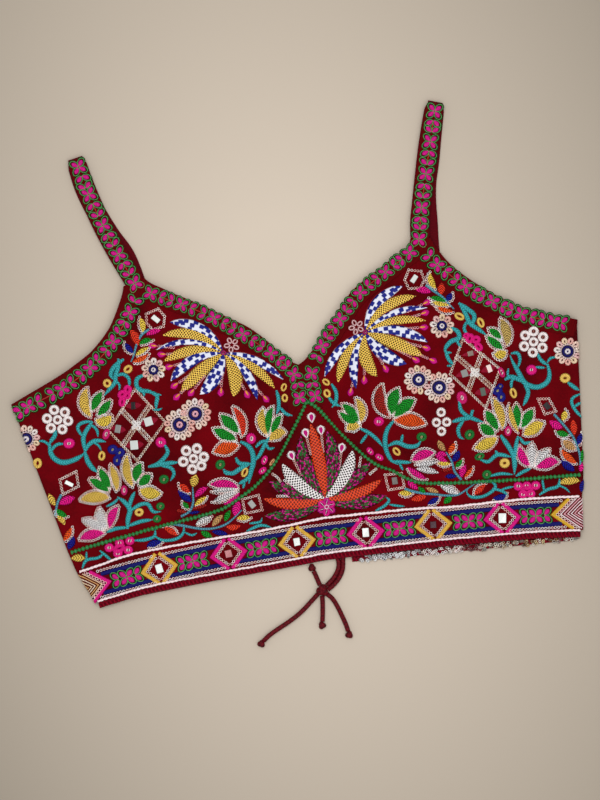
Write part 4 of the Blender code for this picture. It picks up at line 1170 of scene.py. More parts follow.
SPRAY_STEMS = [
    [(-114, 198), (-120, 195), (-125, 188), (-128, 181), (-131, 176)],
    [(-112, 56), (-105, 59), (-101.5, 65), (-100.5, 72), (-100, 77)], [(-198, 86), (-202, 80), (-205, 71)],
    [(96, 199), (101, 194), (107, 188), (111, 182), (114, 178)], [(100, 51), (96, 58), (95, 66), (92, 74)],
    [(176, 89), (182, 80), (188, 69), (190.5, 56), (189, 45)],
    [(-120, 52), (-110, 48.5), (-100, 45), (-90, 43.5), (-80, 45), (-72, 49.5), (-66, 54)],
    [(57, 51), (63, 48), (70, 45.5), (80, 43), (88, 41), (96, 40.5), (104, 44), (110, 47)],
]
VINE_TAPER = np.array([0.5, 0.95, 1, 1, 0.9, 0.2])
MIDRIFF_TOP = 52  # the vines that start below this are finer
branches = new_mesh()
for width, way in VINES:
    share = 1.08 if way[0][1] > MIDRIFF_TOP else 0.92
    ribbon(branches, way, width * share * VINE_TAPER, TEAL, crown=0.9, step=1.3)
for way in SPRAY_STEMS:
    ribbon(branches, way, (2.4, 2.2, 2.0, 1.8, 1.0), STEM_BLUE, crown=0.6, step=1.6)
embroider("branches", branches, chain_stitch)


# ================================================================ the leaves, tulips and buds
# Padded leaves and petals in satin stitch, most of them with a row of sequins round them, grow in
# clusters on the branches and in sprays beside the mirrors.
LEAF = {"gold": "#f0c656", "green": "#149426", "red": "#ea3a20", "orange": "#f4561a", "yellow": "#f6d24e",
        "magenta": "#f0128c", "navy": "#14148a", "white": "#f1eded", "tan": "#d29f64", "red_brown": "#a8231c",
        "straw": "#cfae62"}
# Each leaf: its foot, its tip, its width, its bend to the left, its dye, and 1 where sequins edge it: all
# round a wide leaf and below a narrow one. With 2 they lie only above it.
LEAVES = [
    # clusters on the left cup
    (-166.8, 139.8, -166.5, 162.4, 7, 4, "gold", 1), (-166.1, 144.1, -155.6, 157.6, 6.2, 0.5, "green", 1),
    (-162, 140.3, -150.1, 150.4, 5.6, -0.4, "green", 1), (-164.3, 137.5, -151.3, 139.3, 7.4, -3, "yellow", 1),
    (-59.7, 111.6, -71.5, 127.1, 7.4, 0, "green", 1), (-62.3, 106.7, -78.3, 117.6, 7, 0.3, "green", 1),
    (-58, 108, -61.6, 131.5, 5.6, -3, "red", 1), (-61.1, 102.7, -80.6, 100.4, 8.8, -0.5, "orange", 1),
    (-39, 106, -39, 127, 6, 3, "gold", 1), (-38, 106, -31.5, 127, 6, 2.5, "green", 1),
    (-36, 106, -26, 120, 5.5, 1, "green", 1), (-38, 102, -24.5, 106, 8, 2.5, "gold", 1),
    (-162.1, 82.8, -175.7, 94.3, 6.2, -0.5, "green", 1), (-160.9, 84.8, -166.5, 101.4, 6.2, 0.6, "green", 1),
    (-156.6, 81.9, -158.2, 102.9, 5.4, -1.2, "gold", 1), (-162.5, 78.1, -184.9, 79.7, 7.6, -1.4, "gold", 1),
    (-143.7, 83.4, -144, 108.3, 6.2, 2.6, "gold", 1), (-141.3, 86.8, -134.5, 100.5, 6.6, 1.4, "green", 1),
    (-139.2, 83.6, -128.7, 90.8, 6.4, 0.6, "green", 1), (-139.6, 81.2, -123.7, 76, 8.6, -1.4, "yellow", 1),
    # tulips on the left cup
    (-66, 71, -87, 77, 6.5, -1.5, "magenta", 1), (-67, 70.5, -86, 71.5, 5, -1, "white", 1),
    (-67, 69, -87, 63.5, 5, 0, "white", 1), (-66, 68, -79, 60.5, 4.5, 2, "magenta", 0),
    (-168, 55, -171.5, 72, 6.2, 1.5, "white", 1), (-170, 54, -185, 65, 6.2, -1, "white", 1),
    (-170, 52.5, -190, 50.5, 7, -1.5, "magenta", 1), (-166, 55, -157, 71, 6, 2, "magenta", 1),
    # clusters on the right cup
    (145.5, 150.5, 137, 159.8, 5.4, -0.4, "green", 1), (145.7, 142.4, 134.7, 154.6, 5.8, 0, "green", 1),
    (148.6, 144.7, 147.1, 166.2, 7.2, -2, "straw", 1), (147.5, 141.8, 137.6, 140.4, 6.8, 1.6, "yellow", 1),
    (55, 106, 53, 131, 8, 5, "red_brown", 1), (57, 107, 64.5, 126, 8.5, 2, "green", 1),
    (58, 105, 75, 116, 8.5, 1.5, "green", 1), (57, 103, 80, 97, 9, 1.5, "orange", 1),
    (31, 104, 20.5, 121, 6.5, -1.5, "green", 1), (31, 103, 17.5, 115.5, 5.5, 0.5, "green", 1),
    (32, 105, 31.5, 124, 5.5, -3, "gold", 1), (32, 102, 21, 101, 7, -2, "gold", 1),
    (132.7, 83.8, 125.6, 100.3, 6.8, 0, "green", 1), (129.8, 80.8, 119.7, 90.6, 7.2, 0, "green", 1),
    (136.2, 84.2, 132, 108.7, 6, -1.8, "gold", 1), (131.4, 79.4, 112.7, 73.3, 8, 1.2, "yellow", 1),
    (148.4, 83.3, 149, 101.6, 5.8, 0.3, "green", 1), (150.6, 82.4, 161.6, 95.4, 7, 0.3, "green", 1),
    (147.8, 79.5, 143.6, 101.9, 4.2, 1.2, "gold", 1), (151.2, 76.5, 168.1, 84.1, 8.4, 0.8, "yellow", 1),
    # tulips on the right cup
    (65.6, 71, 83, 74.8, 7, 1.6, "magenta", 1), (67.7, 67.2, 84.7, 67.5, 4.8, 0.4, "white", 2),
    (67.6, 65, 84.4, 58.8, 4.6, 0.4, "white", 0), (61.4, 67.3, 74.4, 55.6, 4.6, -0.8, "magenta", 1),
    (92, 66.3, 83.4, 73.4, 4, 0.4, "magenta", 0), (153.7, 52.3, 156.5, 70.6, 6, 0, "white", 1),
    (155.6, 52.2, 169, 63.7, 6.2, 0.6, "white", 1), (153, 53, 147, 69.5, 6, 2, "magenta", 1),
    (156, 51, 174.5, 53, 8, 2, "magenta", 1),
    # spray beside the left neck mirror
    (-119, 196, -119.5, 208, 4.5, -1, "yellow", 1), (-124, 187, -128, 200, 6, -1, "red", 0),
    (-117, 194, -105.5, 196, 4.5, 1, "magenta", 0), (-123, 187.5, -112.5, 189.5, 4, 1.5, "green", 1),
    (-128, 182, -133.5, 191, 4, 0.5, "navy", 1), (-127, 180, -116, 184.5, 3.5, 0.5, "yellow", 1),
    (-130, 175.5, -117, 179.5, 4, -0.5, "orange", 1),
    # spray under the left cup's gears
    (-100, 77, -96, 86, 6, 0, "gold", 0), (-102.5, 73, -109.5, 81, 4.5, 0, "red", 1),
    (-99.5, 69, -88.5, 75, 4.5, 1, "magenta", 0), (-102.5, 66, -111, 76, 5.5, 0, "navy", 0),
    (-101, 62.5, -90.5, 68, 3.5, 0.5, "yellow", 1), (-103, 60.5, -91, 62, 3, 0, "red_brown", 0),
    (-105, 61, -109, 67, 3.5, 0, "green", 1), (-107, 58.5, -115, 61.5, 3, 0, "red_brown", 0),
    (-106, 57.5, -97, 57.5, 2.5, 0, "navy", 0),
    # spray at the left side
    (-200.7, 79, -188.3, 82.2, 6.2, 0.6, "magenta", 0), (-203.8, 78.2, -207.3, 88.3, 4, 0, "gold", 0),
    (-203.5, 76, -196, 69, 4.5, -1, "green", 1), (-204, 71, -199, 63, 4, 1, "gold", 0),
    (-201.2, 50.9, -194, 60.2, 4.2, 0, "orange", 1), (-198.7, 44.4, -193.5, 53.8, 5, 0, "navy", 0),
    # spray beside the right neck mirror
    (103, 195, 100.5, 208, 4.5, 1.5, "yellow", 1), (106, 190, 108, 199, 5.5, 0, "red", 0),
    (99, 193, 88, 196.5, 5, -1, "magenta", 0), (110, 184, 114.5, 190, 4.5, 0.5, "navy", 1),
    (109, 184, 97, 189, 4, -1, "green", 1), (111, 181.5, 98, 186, 3.5, 0.5, "yellow", 1),
    (113, 176, 101, 181.5, 3.5, 0.5, "orange", 1),
    # spray under the right cup's gears
    (92, 75, 87.5, 84, 4.6, 1, "tan", 0), (93.5, 72, 99.5, 79.5, 4, 0, "orange", 1),
    (95, 66, 101.5, 74, 4.5, -1, "navy", 0), (92.5, 71, 84, 73, 4, -1, "magenta", 0),
    (94, 64.5, 84, 66.5, 3.5, 0, "yellow", 1), (95, 60.5, 86, 60.5, 3.5, 0, "red_brown", 0),
    (97, 61, 103, 66, 3.5, 0, "green", 1), (100.5, 52.5, 105, 62, 5, 1, "magenta", 0),
    (102.5, 52, 110, 59, 3, 0, "orange", 1), (97, 54, 88, 55, 3.5, -0.5, "navy", 0),
    # spray at the right side
    (181.5, 83, 185, 91, 4.5, -0.5, "yellow", 1), (181, 78, 172, 84.5, 6, 0.5, "magenta", 0),
    (189, 71, 189.5, 83, 5, 0, "red", 0), (185, 72, 175.5, 76, 4.5, 0.5, "green", 1),
    (188.5, 60.5, 179.5, 69, 6, 0.5, "tan", 1), (187.5, 50, 177.5, 62, 5, 1, "orange", 1),
    (190, 63, 194, 72, 3.5, 0, "navy", 1), (185, 44.5, 176, 54, 6, 0, "navy", 0),
    (190.5, 50, 193.5, 60, 3, 0, "green", 0), (189, 43, 191, 50, 3, 0, "magenta", 0),
    # the midriff's sprays and leaves
    (-198.1, 37.8, -187.5, 36, 5.4, 0.3, "gold", 0), (-116.7, 42.2, -125.9, 50.1, 4.6, -0.4, "red", 2),
    (-141, 37.5, -129, 39, 5, 1, "navy", 1), (-102, 48, -89.5, 52.5, 4.5, 0.5, "white", 1),
    (-90, 45, -80.5, 52.5, 4.5, 0.5, "tan", 0), (-80, 47, -74.5, 55, 4, 0.5, "green", 0),
    (-72, 50, -67, 61, 6, 0.5, "magenta", 0), (-71, 48, -60.5, 47, 4, 0.5, "yellow", 1),
    (-80, 43.5, -69, 42.5, 4.5, -1, "red", 0), (-91, 41.5, -79, 37.5, 4, 0, "navy", 0),
    (-99, 43, -91, 37.5, 4.5, -0.5, "green", 0), (67, 49.2, 59.9, 57.1, 4.6, 0.4, "magenta", 0),
    (52, 48.5, 62, 46.5, 4, 0, "yellow", 1), (60.3, 41.8, 72.4, 43.1, 5, 0, "red", 0),
    (72, 45, 67.2, 50.7, 3.6, 0, "green", 0), (82, 44.3, 72.5, 49.3, 3.8, 0, "tan", 0),
    (96.5, 40.4, 83.1, 49.9, 4.8, 0, "white", 2), (72, 36.7, 81.6, 40.4, 3.8, 0, "navy", 1),
    (84.3, 35.2, 91.4, 39.6, 4.6, 0.3, "green", 0), (107.7, 38.3, 117.3, 45.1, 4.4, 0.2, "red", 2),
    (121, 34, 132, 35.5, 5, -1.5, "navy", 1), (172, 37, 188, 36.5, 6, 1.5, "gold", 0),
    (187, 28, 192, 38, 4.5, 0, "navy", 0),
]
# Round and oval buds and berries: a ring of satin stitch about an eye, by its dye. Each: x, y, outer and
# inner radius, stretch and turn.
BUDS = {
    "#ecc560": [  # gold
        (-134, 171, 2.7, 1.1, 1.2, 30), (-151, 163, 2.9, 1.1, 1.1, -60), (-212, 112, 2.9, 1, 1.2, 80),
        (-163.5, 110, 2.4, 0.9, 1.3, 70), (-21, 140, 2, 0.9, 1.35, 60), (-21.5, 132, 2.4, 1.1, 1.2, 80),
        (-60, 82, 2.2, 1, 1.5, 60), (-142.5, 64, 2.9, 1, 1.1, 0), (117, 172, 2.4, 0.9, 1.45, -35),
        (132, 165, 2.3, 0.9, 1.5, -75), (11, 139, 2.1, 0.9, 1.35, -45), (10.5, 130.5, 2.5, 1.1, 1.2, -75),
        (188.5, 114.5, 3.3, 0.8, 1.1, 0), (148, 109.5, 2.3, 0.9, 1.5, -80), (55.5, 80, 2.2, 1, 1.4, -60),
        (134, 58.5, 3.5, 0.9, 1.05, 0),
    ],
    "#e3127f": [  # magenta, with a pale slit
        (-186.5, 123, 3.6, 0.8, 1.15, 0), (-118, 113.5, 3.7, 0.8, 1, 0), (-51.5, 106, 3.4, 0.9, 1.1, 80),
        (-44, 88.5, 1.9, 0.6, 1.6, 60), (-46.5, 81, 2, 0.6, 1.5, 30), (164.5, 124.5, 3.6, 0.7, 1.05, 0),
        (46, 104, 3.2, 0.9, 1.1, 0), (36, 83, 1.9, 0.6, 1.5, -60), (42, 77.5, 2, 0.6, 1.5, -40),
        (-168.7, 41.2, 3.2, 0.9, 1.05, 0), (-160.5, 43.5, 3.2, 0.9, 1.05, 0), (-152.6, 44, 3.2, 0.9, 1.05, 0),
        (-162.9, 35.9, 3.2, 0.9, 1.05, 0), (-154.9, 37.2, 3.2, 0.9, 1.05, 0),
        (141.4, 39.9, 3.2, 0.9, 1.05, 0), (147.7, 39.1, 3.2, 0.9, 1.05, 0), (154.5, 38.4, 3.2, 0.9, 1.05, 0),
        (144, 33.3, 3.2, 0.9, 1.05, 0), (149.9, 32.8, 3.2, 0.9, 1.05, 0),
    ],
    "#cf1a6c": [  # deeper magenta, with a pale slit
        (-157.5, 125.5, 2.6, 0.7, 1.5, 60), (-151, 82, 2.2, 0.7, 1.5, 80), (109.5, 112, 3.6, 0.7, 1.25, -80),
        (141.5, 126, 1.9, 0.6, 1.8, -75), (140, 82, 2.4, 0.8, 1.4, 75),
    ],
    "#1f7a34": [  # green, with a straw slit
        (-120, 86, 3, 1.1, 1.1, 0), (-77, 90.5, 3.1, 1.1, 1.1, 40), (-126, 66, 2.6, 1, 1.1, 0),
        (-130, 57, 2.6, 1, 1.1, 0), (111, 84, 3.2, 1.2, 1.1, 40), (75.5, 88, 3, 1.1, 1.1, 0),
        (116, 66.5, 2.4, 0.9, 1.4, 10), (119.5, 52, 3, 1.1, 1.1, 30),
    ],
    "#e8a070": [  # one peach seed
        (-38.5, 86, 1, 0.2, 2.2, 45),
    ],
    "#d8107a": [  # the berries between the midriff's
        (-161.5, 39.5, 3.4, 0.2, 1.4, 20), (147.3, 35.9, 3.4, 0.2, 1.4, 0),
    ],
    "#e6127f": [  # magenta berries
        (-141, 153, 3.2, 0.4, 1.1, 20), (-136.5, 156, 3, 0.4, 1.1, 80), (-137.5, 151.5, 2.8, 0.4, 1.1, 40),
        (-142, 147.5, 2.6, 0.4, 1.3, 75), (122, 154.5, 3.1, 0.4, 1.2, 60), (126.5, 153, 3, 0.4, 1.1, 0),
        (127.5, 147.5, 2.7, 0.4, 1.25, -60), (120, 157, 2, 0.3, 1.2, 0),
    ],
    "#15157e": [  # navy, with a straw slit
        (-154.5, 113.5, 3.3, 0.4, 1.1, 0), (-149.5, 110.5, 3.3, 0.4, 1.1, 0), (-152.5, 105, 3, 0.4, 1.25, 80),
        (136.5, 113, 3.3, 0.4, 1.1, 0), (138.5, 108, 3, 0.4, 1.2, 80), (139, 116, 1.8, 0.5, 1.1, 0),
    ],
}
# The slit in the middle of some: its dye and, but for its width, how it is stitched.
PALE_SLIT = ("#f9e3e3", {"crown": 0.3, "lift": 0.4, "stretch": 1.35, "turn": 75, "corners": 10})
STRAW_SLIT = ("#c9bd88", {"crown": 0.3, "lift": 0.5, "stretch": 1.5, "turn": 60, "corners": 8})
SLITS = {"#e3127f": PALE_SLIT, "#cf1a6c": PALE_SLIT, "#1f7a34": STRAW_SLIT, "#15157e": STRAW_SLIT}
PADDED = 1.16  # how far the padding spreads a leaf past its drawn width
WIDE_LEAF = 6.1  # from this width on a leaf has sequins all round
SEQUINS_OUT = 0.6


def leaf_edge(foot, tip, width, bend, out):
    """A closed line round a leaf, a little outside it."""
    rib = arc(foot, tip, bend, 13)
    ahead = directions(rib)
    left = left_of(ahead) * (leaf_widths(width, count=13, full=0.8) / 2 + out)[:, None]
    return np.vstack([rib[:-1] + left[:-1], rib[-1:] + ahead[-1] * out, (rib - left)[-2:0:-1]])


leaves, buds = new_mesh(), new_mesh()
for x, y, tip_x, tip_y, width, bend, dye_name, edged in LEAVES:
    foot, tip = (x, y), (tip_x, tip_y)
    width *= PADDED
    leaf(leaves, foot, tip, width, LEAF[dye_name], bend, full=0.8, crown=0.9, step=1.4, sides=6)
    if edged:
        shades = ("#fbf1ee", "#f9dfda") if dye_name == "magenta" else SEQUIN_SHADES
        edge = leaf_edge(foot, tip, width, bend, SEQUINS_OUT)
        whole = edged == 1 and width > WIDE_LEAF
        if not whole:
            edge = edge[12:] if (tip_x > x) == (edged == 1) else edge[:13]
        sequin_row(edge, pitch=2.1, shades=shades, size=0.82, closed=whole)
    if dye_name == "white":  # two rows of black running stitches
        for row in (-0.2, 0.2):
            rib = beside(arc(foot, tip, bend, 9), row * width)
            for k in range(2, 7):
                ribbon(leaves, rib[k:k + 2], (0.3, 0.75, 0.3), "#20181c", crown=0.25, lift=0.85, sides=2)
for dye, rows in BUDS.items():
    for x, y, outer, inner, stretch, turn in rows:
        ring(buds, (x, y), outer + 0.5, inner * 0.7, dye, crown=0.9, stretch=stretch, turn=turn, corners=14,
             sides=4)
        if dye in SLITS:
            slit, stitched = SLITS[dye]
            sizes = (inner + 0.95, 0.3) if SLITS[dye] is PALE_SLIT else (0.9, 0.1)
            ring(buds, (x, y), *sizes, slit, **stitched)
embroider("leaves", leaves, satin_stitch)
embroider("buds", buds, border_stitch)


# ================================================================ the round flowers
# Gear flowers: a scalloped rim of looped stitches, a ring of knots, a thick navy ring and a pale eye.
# Ring flowers: six white rings of buttonhole stitch round a seventh.
GEAR_SHADES = ("#f2b9ad", "#f6d5c4", "#f4dfcf", "#f7ece6", "#f0c4c0", "#f3d8b4")
# Each: x, y, outer radius, and the bearings between which its scallops go under its neighbour.
GEARS = [
    (-89.6, 130.3, 11.4, 196, 252), (-102.2, 124.2, 11.4, 8, 46), (-115.2, 167.4, 8.8, 0, 0),
    (-217.8, 131.2, 10.3, 0, 0), (80, 130, 10.6, 296, 350), (94, 122, 11.2, 130, 158),
    (103, 166.8, 8.8, 0, 0), (193.5, 134, 10.2, 0, 0),
]
# Each: x, y and the bearings of its rings.
RING_FLOWERS = [
    (-192.3, 141.8, 100, 38, -14, -72, 222, 164), (-96, 98, 124, 62, 0, -50, 254, 188),
    (169.3, 145, 81, 18, -42, -103, 196, 134),
]
# Half of a ring flower, cut off by the dart.
CUT_RINGS = [(92.7, 103.9), (95.7, 96.1), (90.9, 89.9), (88.1, 97)]
BUTTONHOLE = "#fcf4f2"
rounds = new_mesh()


def white_ring(at, outer=4.15, inner=1.25):
    ring(rounds, at, outer, inner, BUTTONHOLE, crown=1.1, corners=16, sides=4)
    leaf(rounds, (at[0] - inner * 0.5, at[1] - inner * 0.9), (at[0] + inner * 0.4, at[1] + inner * 0.9),
         0.8, "#b48676", crown=0.3, sides=2)


for x, y, outer, under_from, under_to in GEARS:
    count = round(2 * math.pi * (outer - 2) / 4.5)
    scallop = math.pi * (outer - 2) / count
    for k in range(count):
        bearing = 360 * k / count
        if under_from < bearing < under_to:
            continue
        middle, foot, tip = (around((x, y), math.radians(bearing), outer - scallop * share)
                             for share in (1, 1.7, 0.8))
        ring(rounds, middle, scallop * 1.05, 0.15, GEAR_SHADES[(k * 5 + round(x)) % 6], crown=0.9,
             stretch=1.2, turn=bearing, sides=4)
        leaf(rounds, foot, tip, 0.8, "#5a1020", crown=0.2, lift=0.85, sides=2)
    ring(rounds, (x, y), outer * 0.67, outer * 0.43, "#f4dcdc", crown=0.5, lift=0.1, corners=22)
    for k in range(20):
        knot = around((x, y), math.radians(18 * k), outer * 0.575)
        ring(rounds, knot, 0.72, 0.02, "#1e0612", crown=0.35, lift=0.75, corners=6)
    ring(rounds, (x, y), outer * 0.43, outer * 0.23, "#140f62", crown=1.2, corners=18, sides=4)
    eye = "#f0b4c0" if x < 0 and y < 131 else "#f4ecf0"
    ring(rounds, (x, y), outer * 0.26, 0.1, eye, crown=0.8, lift=0.3, corners=14)
    leaf(rounds, (x - 1, y - 1.2), (x + 1, y + 1.2), 1.0, "#1a1466", crown=0.25, lift=1.0, sides=2)
for x, y, *bearings in RING_FLOWERS:
    for bearing in bearings:
        white_ring(around((x, y), math.radians(bearing), 7.9))
    white_ring((x, y), 3.9, 1.15)
for spot_at in CUT_RINGS:
    white_ring(spot_at, 3.7, 1.2)


# ================================================================ the mirrors
# Small silvered glass plates, caught down by crimson stitches at two sides, stand in frames of sequins:
# single squares near the straps and sides, and a four-part diamond on each cup.
PLATE = 0.9
# The colours of the reflections painted on the plates: light, grey and dark.
LIGHT_REFLECTION, GREY_REFLECTION, DARK_REFLECTION = "#d6dad6", "#8f8f8c", "#231c1e"
# Each: x, y, width, height, turn, the reflection painted on its glass, and how far past its sides the crimson
# stitches reach.
MIRRORS = [
    (-108, 205, 3.6, 6.4, 42, LIGHT_REFLECTION, 0), (-191, 93.2, 6.6, 2.8, -35, LIGHT_REFLECTION, 0),
    (88, 205, 3.4, 6.2, -42, LIGHT_REFLECTION, 0), (171.7, 95.8, 4.2, 5.2, 30, DARK_REFLECTION, 2),
    (-58, 57, 4.2, 5.6, 30, GREY_REFLECTION, 0), (50.5, 58, 4.2, 5.4, 0, "#5a5450", 0),
    (-134, 143.5, 3.2, 5.4, -4, DARK_REFLECTION, 4.5), (-124.5, 130, 5.8, 6.2, 8, LIGHT_REFLECTION, 4.5),
    (-148, 128, 4, 6, -18, GREY_REFLECTION, 4), (-137.8, 114.5, 5.6, 6.6, -4, LIGHT_REFLECTION, 4.5),
    (114, 129.5, 4.6, 5.4, 10, GREY_REFLECTION, 4.5), (132.8, 130.2, 3.2, 5.6, 12, "#f4dcd6", 5),
    (120.6, 143.4, 4.2, 3.6, 4, "#8c7c72", 4.5), (125.5, 114, 3.6, 6, 4, "#5c665c", 4.5),
    (-134, 20, 5, 6.6, 9, LIGHT_REFLECTION, 0), (-81, 23, 5, 5.4, 4, "#a86a6c", 0),
    (-29, 24, 4.6, 5.8, 2, LIGHT_REFLECTION, 0), (23, 23, 4.8, 6.6, -4, LIGHT_REFLECTION, 0),
    (74, 21, 4.6, 5, -5, "#34101c", 0), (126, 18, 5.6, 7.2, -8, LIGHT_REFLECTION, 0),
]
# Frames of sequins: corners of squares, drawn once round.
SQUARE_FRAMES = [
    [(-114.5, 210), (-105, 212.5), (-101, 206), (-103, 198.5), (-111.5, 197.5), (-115, 203)],
    [(-184.4, 101.5), (-184.3, 90.2), (-196.9, 85.9), (-197.5, 97.2)],
    [(94, 210), (85, 212.5), (81, 205.5), (83, 198.5), (91.5, 197.5), (95.5, 203)],
    [(166, 102.1), (174.1, 101.1), (177.9, 91), (169.2, 90.2)],
    [(-64.5, 62), (-52, 63), (-51, 51.5), (-64, 51)],
    [(44, 63.5), (56.5, 63), (57, 52), (45, 52)],
]
# Four-part diamonds: top, right, bottom and left corner.
DIAMONDS = [
    [(-131, 155.5), (-112.5, 128), (-137.5, 102.5), (-155.5, 128)],
    [(117, 155), (140.8, 128.6), (126, 102), (103.5, 130.5)],
]
DIAMOND_SHADES = ("#fbe8d6", "#ecc8b0", "#fff6ee")
plates, catches = new_mesh(), new_mesh()
for x, y, width, height, turn, painted_reflection, reach in MIRRORS:
    made = bmesh.ops.create_cube(plates, size=1)["verts"]
    bmesh.ops.scale(plates, vec=(width, height, PLATE), verts=made)
    for vert in made:
        vert[plates.verts.layers.float_color["dye"]] = linear(painted_reflection)
    edges = list({edge for vert in made for edge in vert.link_edges})
    bevelled = bmesh.ops.bevel(plates, geom=edges, offset=0.22, segments=1, profile=0.5, affect="EDGES",
                               material=-1)
    made = list({vert for face in bevelled["faces"] for vert in face.verts})
    bmesh.ops.rotate(plates, cent=(0, 0, 0), matrix=Matrix.Rotation(math.radians(turn), 3, "Z"), verts=made)
    bmesh.ops.translate(plates, vec=(x, y, PLATE / 2 - 0.05), verts=made)
    for side in (0, math.pi) if reach else ():
        tip = around((x, y), math.radians(turn) + side, width / 2 + reach)
        leaf(catches, (x, y), tip, height * 1.15, "#960a2c", belly=0.16, crown=0.25)
for corners in SQUARE_FRAMES:
    straight_row(corners, closed=True, pitch=2.1, size=0.84, shades=("#ffece4", "#f8c8be"))
for top, right, bottom, left in DIAMONDS:
    straight_row([top, right, bottom, left], closed=True, pitch=2.1, size=0.8, shades=DIAMOND_SHADES)
    for first, second in (((top, right), (bottom, left)), ((left, top), (right, bottom))):
        a, b = (np.mean(pair, axis=0) for pair in (first, second))
        for side in (-1.15, 1.15):
            straight_row([tuple(point) for point in beside([a, b], side)], pitch=1.95, size=0.72,
                         shades=DIAMOND_SHADES)
    middle = np.mean([top, right, bottom, left], axis=0)
    for k in range(5):
        turn = 90 * k + 30
        bead = around(middle, math.radians(turn), 2.3 if k else 0)
        ring(rounds, bead, 1.9, 0.1, "#f4f2f0", crown=0.8, stretch=1.2, turn=turn)

# Silvered glass: smooth and bright; each plate's colour is a painted reflection, lighter or darker by what it
# faces.
glass, tree = new_finish("silvered mirror glass", Metallic=0.15, Roughness=0.3, Specular_IOR_Level=0.35)
add(tree, "ShaderNodeAttribute", feeds="Base Color", attribute_name="dye")
embroider("mirror_plates", plates, glass, "mirrors")
embroider("mirror_catches", catches, border_stitch)
embroider("round_flowers", rounds, border_stitch)


# ================================================================ the lotus
# On the midriff eleven petals open from one foot: netted orange, dotted white, and flecked magenta and
# green. White drops with magenta hearts stand on sequin stalks between the upper ones.
FOOT, CALYX = (-3, 53), (-3, 46.5)
# Each petal: its tip, width, bend to the left and kind.
LOTUS = [
    (-50, 47, 11.5, 4.2, "flecked"), (43, 48, 11.5, -4.0, "flecked"),
    (-49, 60, 9.5, 4.4, "orange"), (41, 60.6, 9.5, -4.4, "orange"),
    (-43, 72, 11.5, 2.2, "flecked"), (35, 75, 11.5, -2.2, "flecked"),
    (-14, 102, 12.5, 5, "flecked"), (5.8, 103, 12.5, -5.5, "flecked"),
    (-31, 84, 11.2, 4.5, "white"), (23, 86, 11.2, -4.5, "white"),
    (-5.5, 110.5, 11, -1, "orange"),
]
DROPS = [(-4, 114.5), (-10, 103.5), (1.6, 104), (-23, 88.5), (15, 88.5)]
SHORT_CHAINS = [[(-39, 77), (-36, 74), (-34.5, 71)], [(-31, 71), (-27, 66)], [(-38, 60), (-30, 59)],
                [(28, 79), (26, 73)], [(33, 66), (38, 69)], [(23, 68), (20, 64)]]
netted, flecked, drops = new_mesh(), new_mesh(), new_mesh()
# Each kind: its mesh, its dye, the other dye in it, its crown and its pitch.
LOTUS_KINDS = {
    "flecked": (flecked, "#bc107a", "#176326", 0.6, 1.0),
    "orange": (netted, "#dc4216", "#6a0d06", 0.8, 2.1),
    "white": (netted, "#ece6e4", "#1d1418", 0.8, 2.0),
}
for k, (x, y, width, bend, kind) in enumerate(LOTUS):
    bm, dye, spot, crown, pitch = LOTUS_KINDS[kind]
    leaf(bm, FOOT, (x, y), width, dye, bend, spot=spot, crown=crown, pitch=pitch, lift=0.04 * k, step=2.0,
         sides=6)
for x, y in DROPS:
    away = math.atan2(y - FOOT[1], x - FOOT[0])
    away = math.pi / 2 + (away - math.pi / 2) * 0.6
    near, far = around((x, y), away, -4.2), around((x, y), away, 3.9)
    leaf(drops, near, far, 7.0, "#fffafa", belly=0.62, crown=0.8)
    leaf(drops, around(near, away, 1.0), around(far, away, -0.9), 4.9, "#c8107e", belly=0.6, crown=0.5,
         lift=0.5)
    if y < 110:
        sequin_row([near, around((x, y), away, -16)], pitch=2.1, shades=("#f2c9c2", "#eab2a8"), size=0.8)
for chain in SHORT_CHAINS:
    sequin_row(chain, pitch=2.1, size=0.85)
for k in range(6):
    angle = math.radians(60 * k + 20)
    ring(drops, around(CALYX, angle, 3.8), 3.2, 0.3, ("#e0148a", "#c81a86")[k % 2], crown=0.9, stretch=1.25,
         turn=math.degrees(angle))
    vein = [around(CALYX, angle + 0.3, 1.6), around(CALYX, angle - 0.1, 6.2)]
    ribbon(drops, vein, (0.4, 0.9, 0.4), "#f0c6dc", crown=0.3, lift=0.8, sides=2)
ring(drops, CALYX, 2.2, 0.6, "#f3d6e2", crown=0.8, lift=0.4)
embroider("lotus_net", netted, net_stitch)
embroider("lotus_drops", drops, border_stitch)

# Flecked filling: two dyes laid in short stitches side by side, with the ground between them.
fleck, tree = new_finish("flecked filling stitch", Roughness=0.5, Specular_IOR_Level=0.1)
dye = add(tree, "ShaderNodeAttribute", attribute_name="dye")
spot = add(tree, "ShaderNodeAttribute", attribute_name="spot")
marks = add(tree, "ShaderNodeUVMap", uv_map="stitch")
laid = add(tree, "ShaderNodeMapping", {"Vector": marks, "Scale": (0.56, 0.92, 1), "Rotation": (0, 0, 0.3)})
cells = add(tree, "ShaderNodeTexVoronoi", {"Vector": laid, "Scale": 1.0, "Randomness": 0.9})
which = add(tree, "ShaderNodeSeparateColor", {0: cells.outputs["Color"]})
chosen = add(tree, "ShaderNodeMath", {0: which, 1: 0.5}, operation="GREATER_THAN")
colour = add(tree, "ShaderNodeMix", {"Factor": chosen, 6: dye, 7: spot}, data_type="RGBA")
gap = add(tree, "ShaderNodeMapRange", {"Value": cells, "From Min": 0.4, "From Max": 0.62})
add(tree, "ShaderNodeMix", {"Factor": gap, 6: colour, 7: "#3a0510"}, "Base Color", data_type="RGBA")
low = add(tree, "ShaderNodeMath", {0: 1.0, 1: cells}, operation="SUBTRACT")
add(tree, "ShaderNodeBump", {"Height": low, "Strength": 0.7, "Distance": 0.0004}, "Normal")
embroider("lotus_flecks", flecked, fleck)


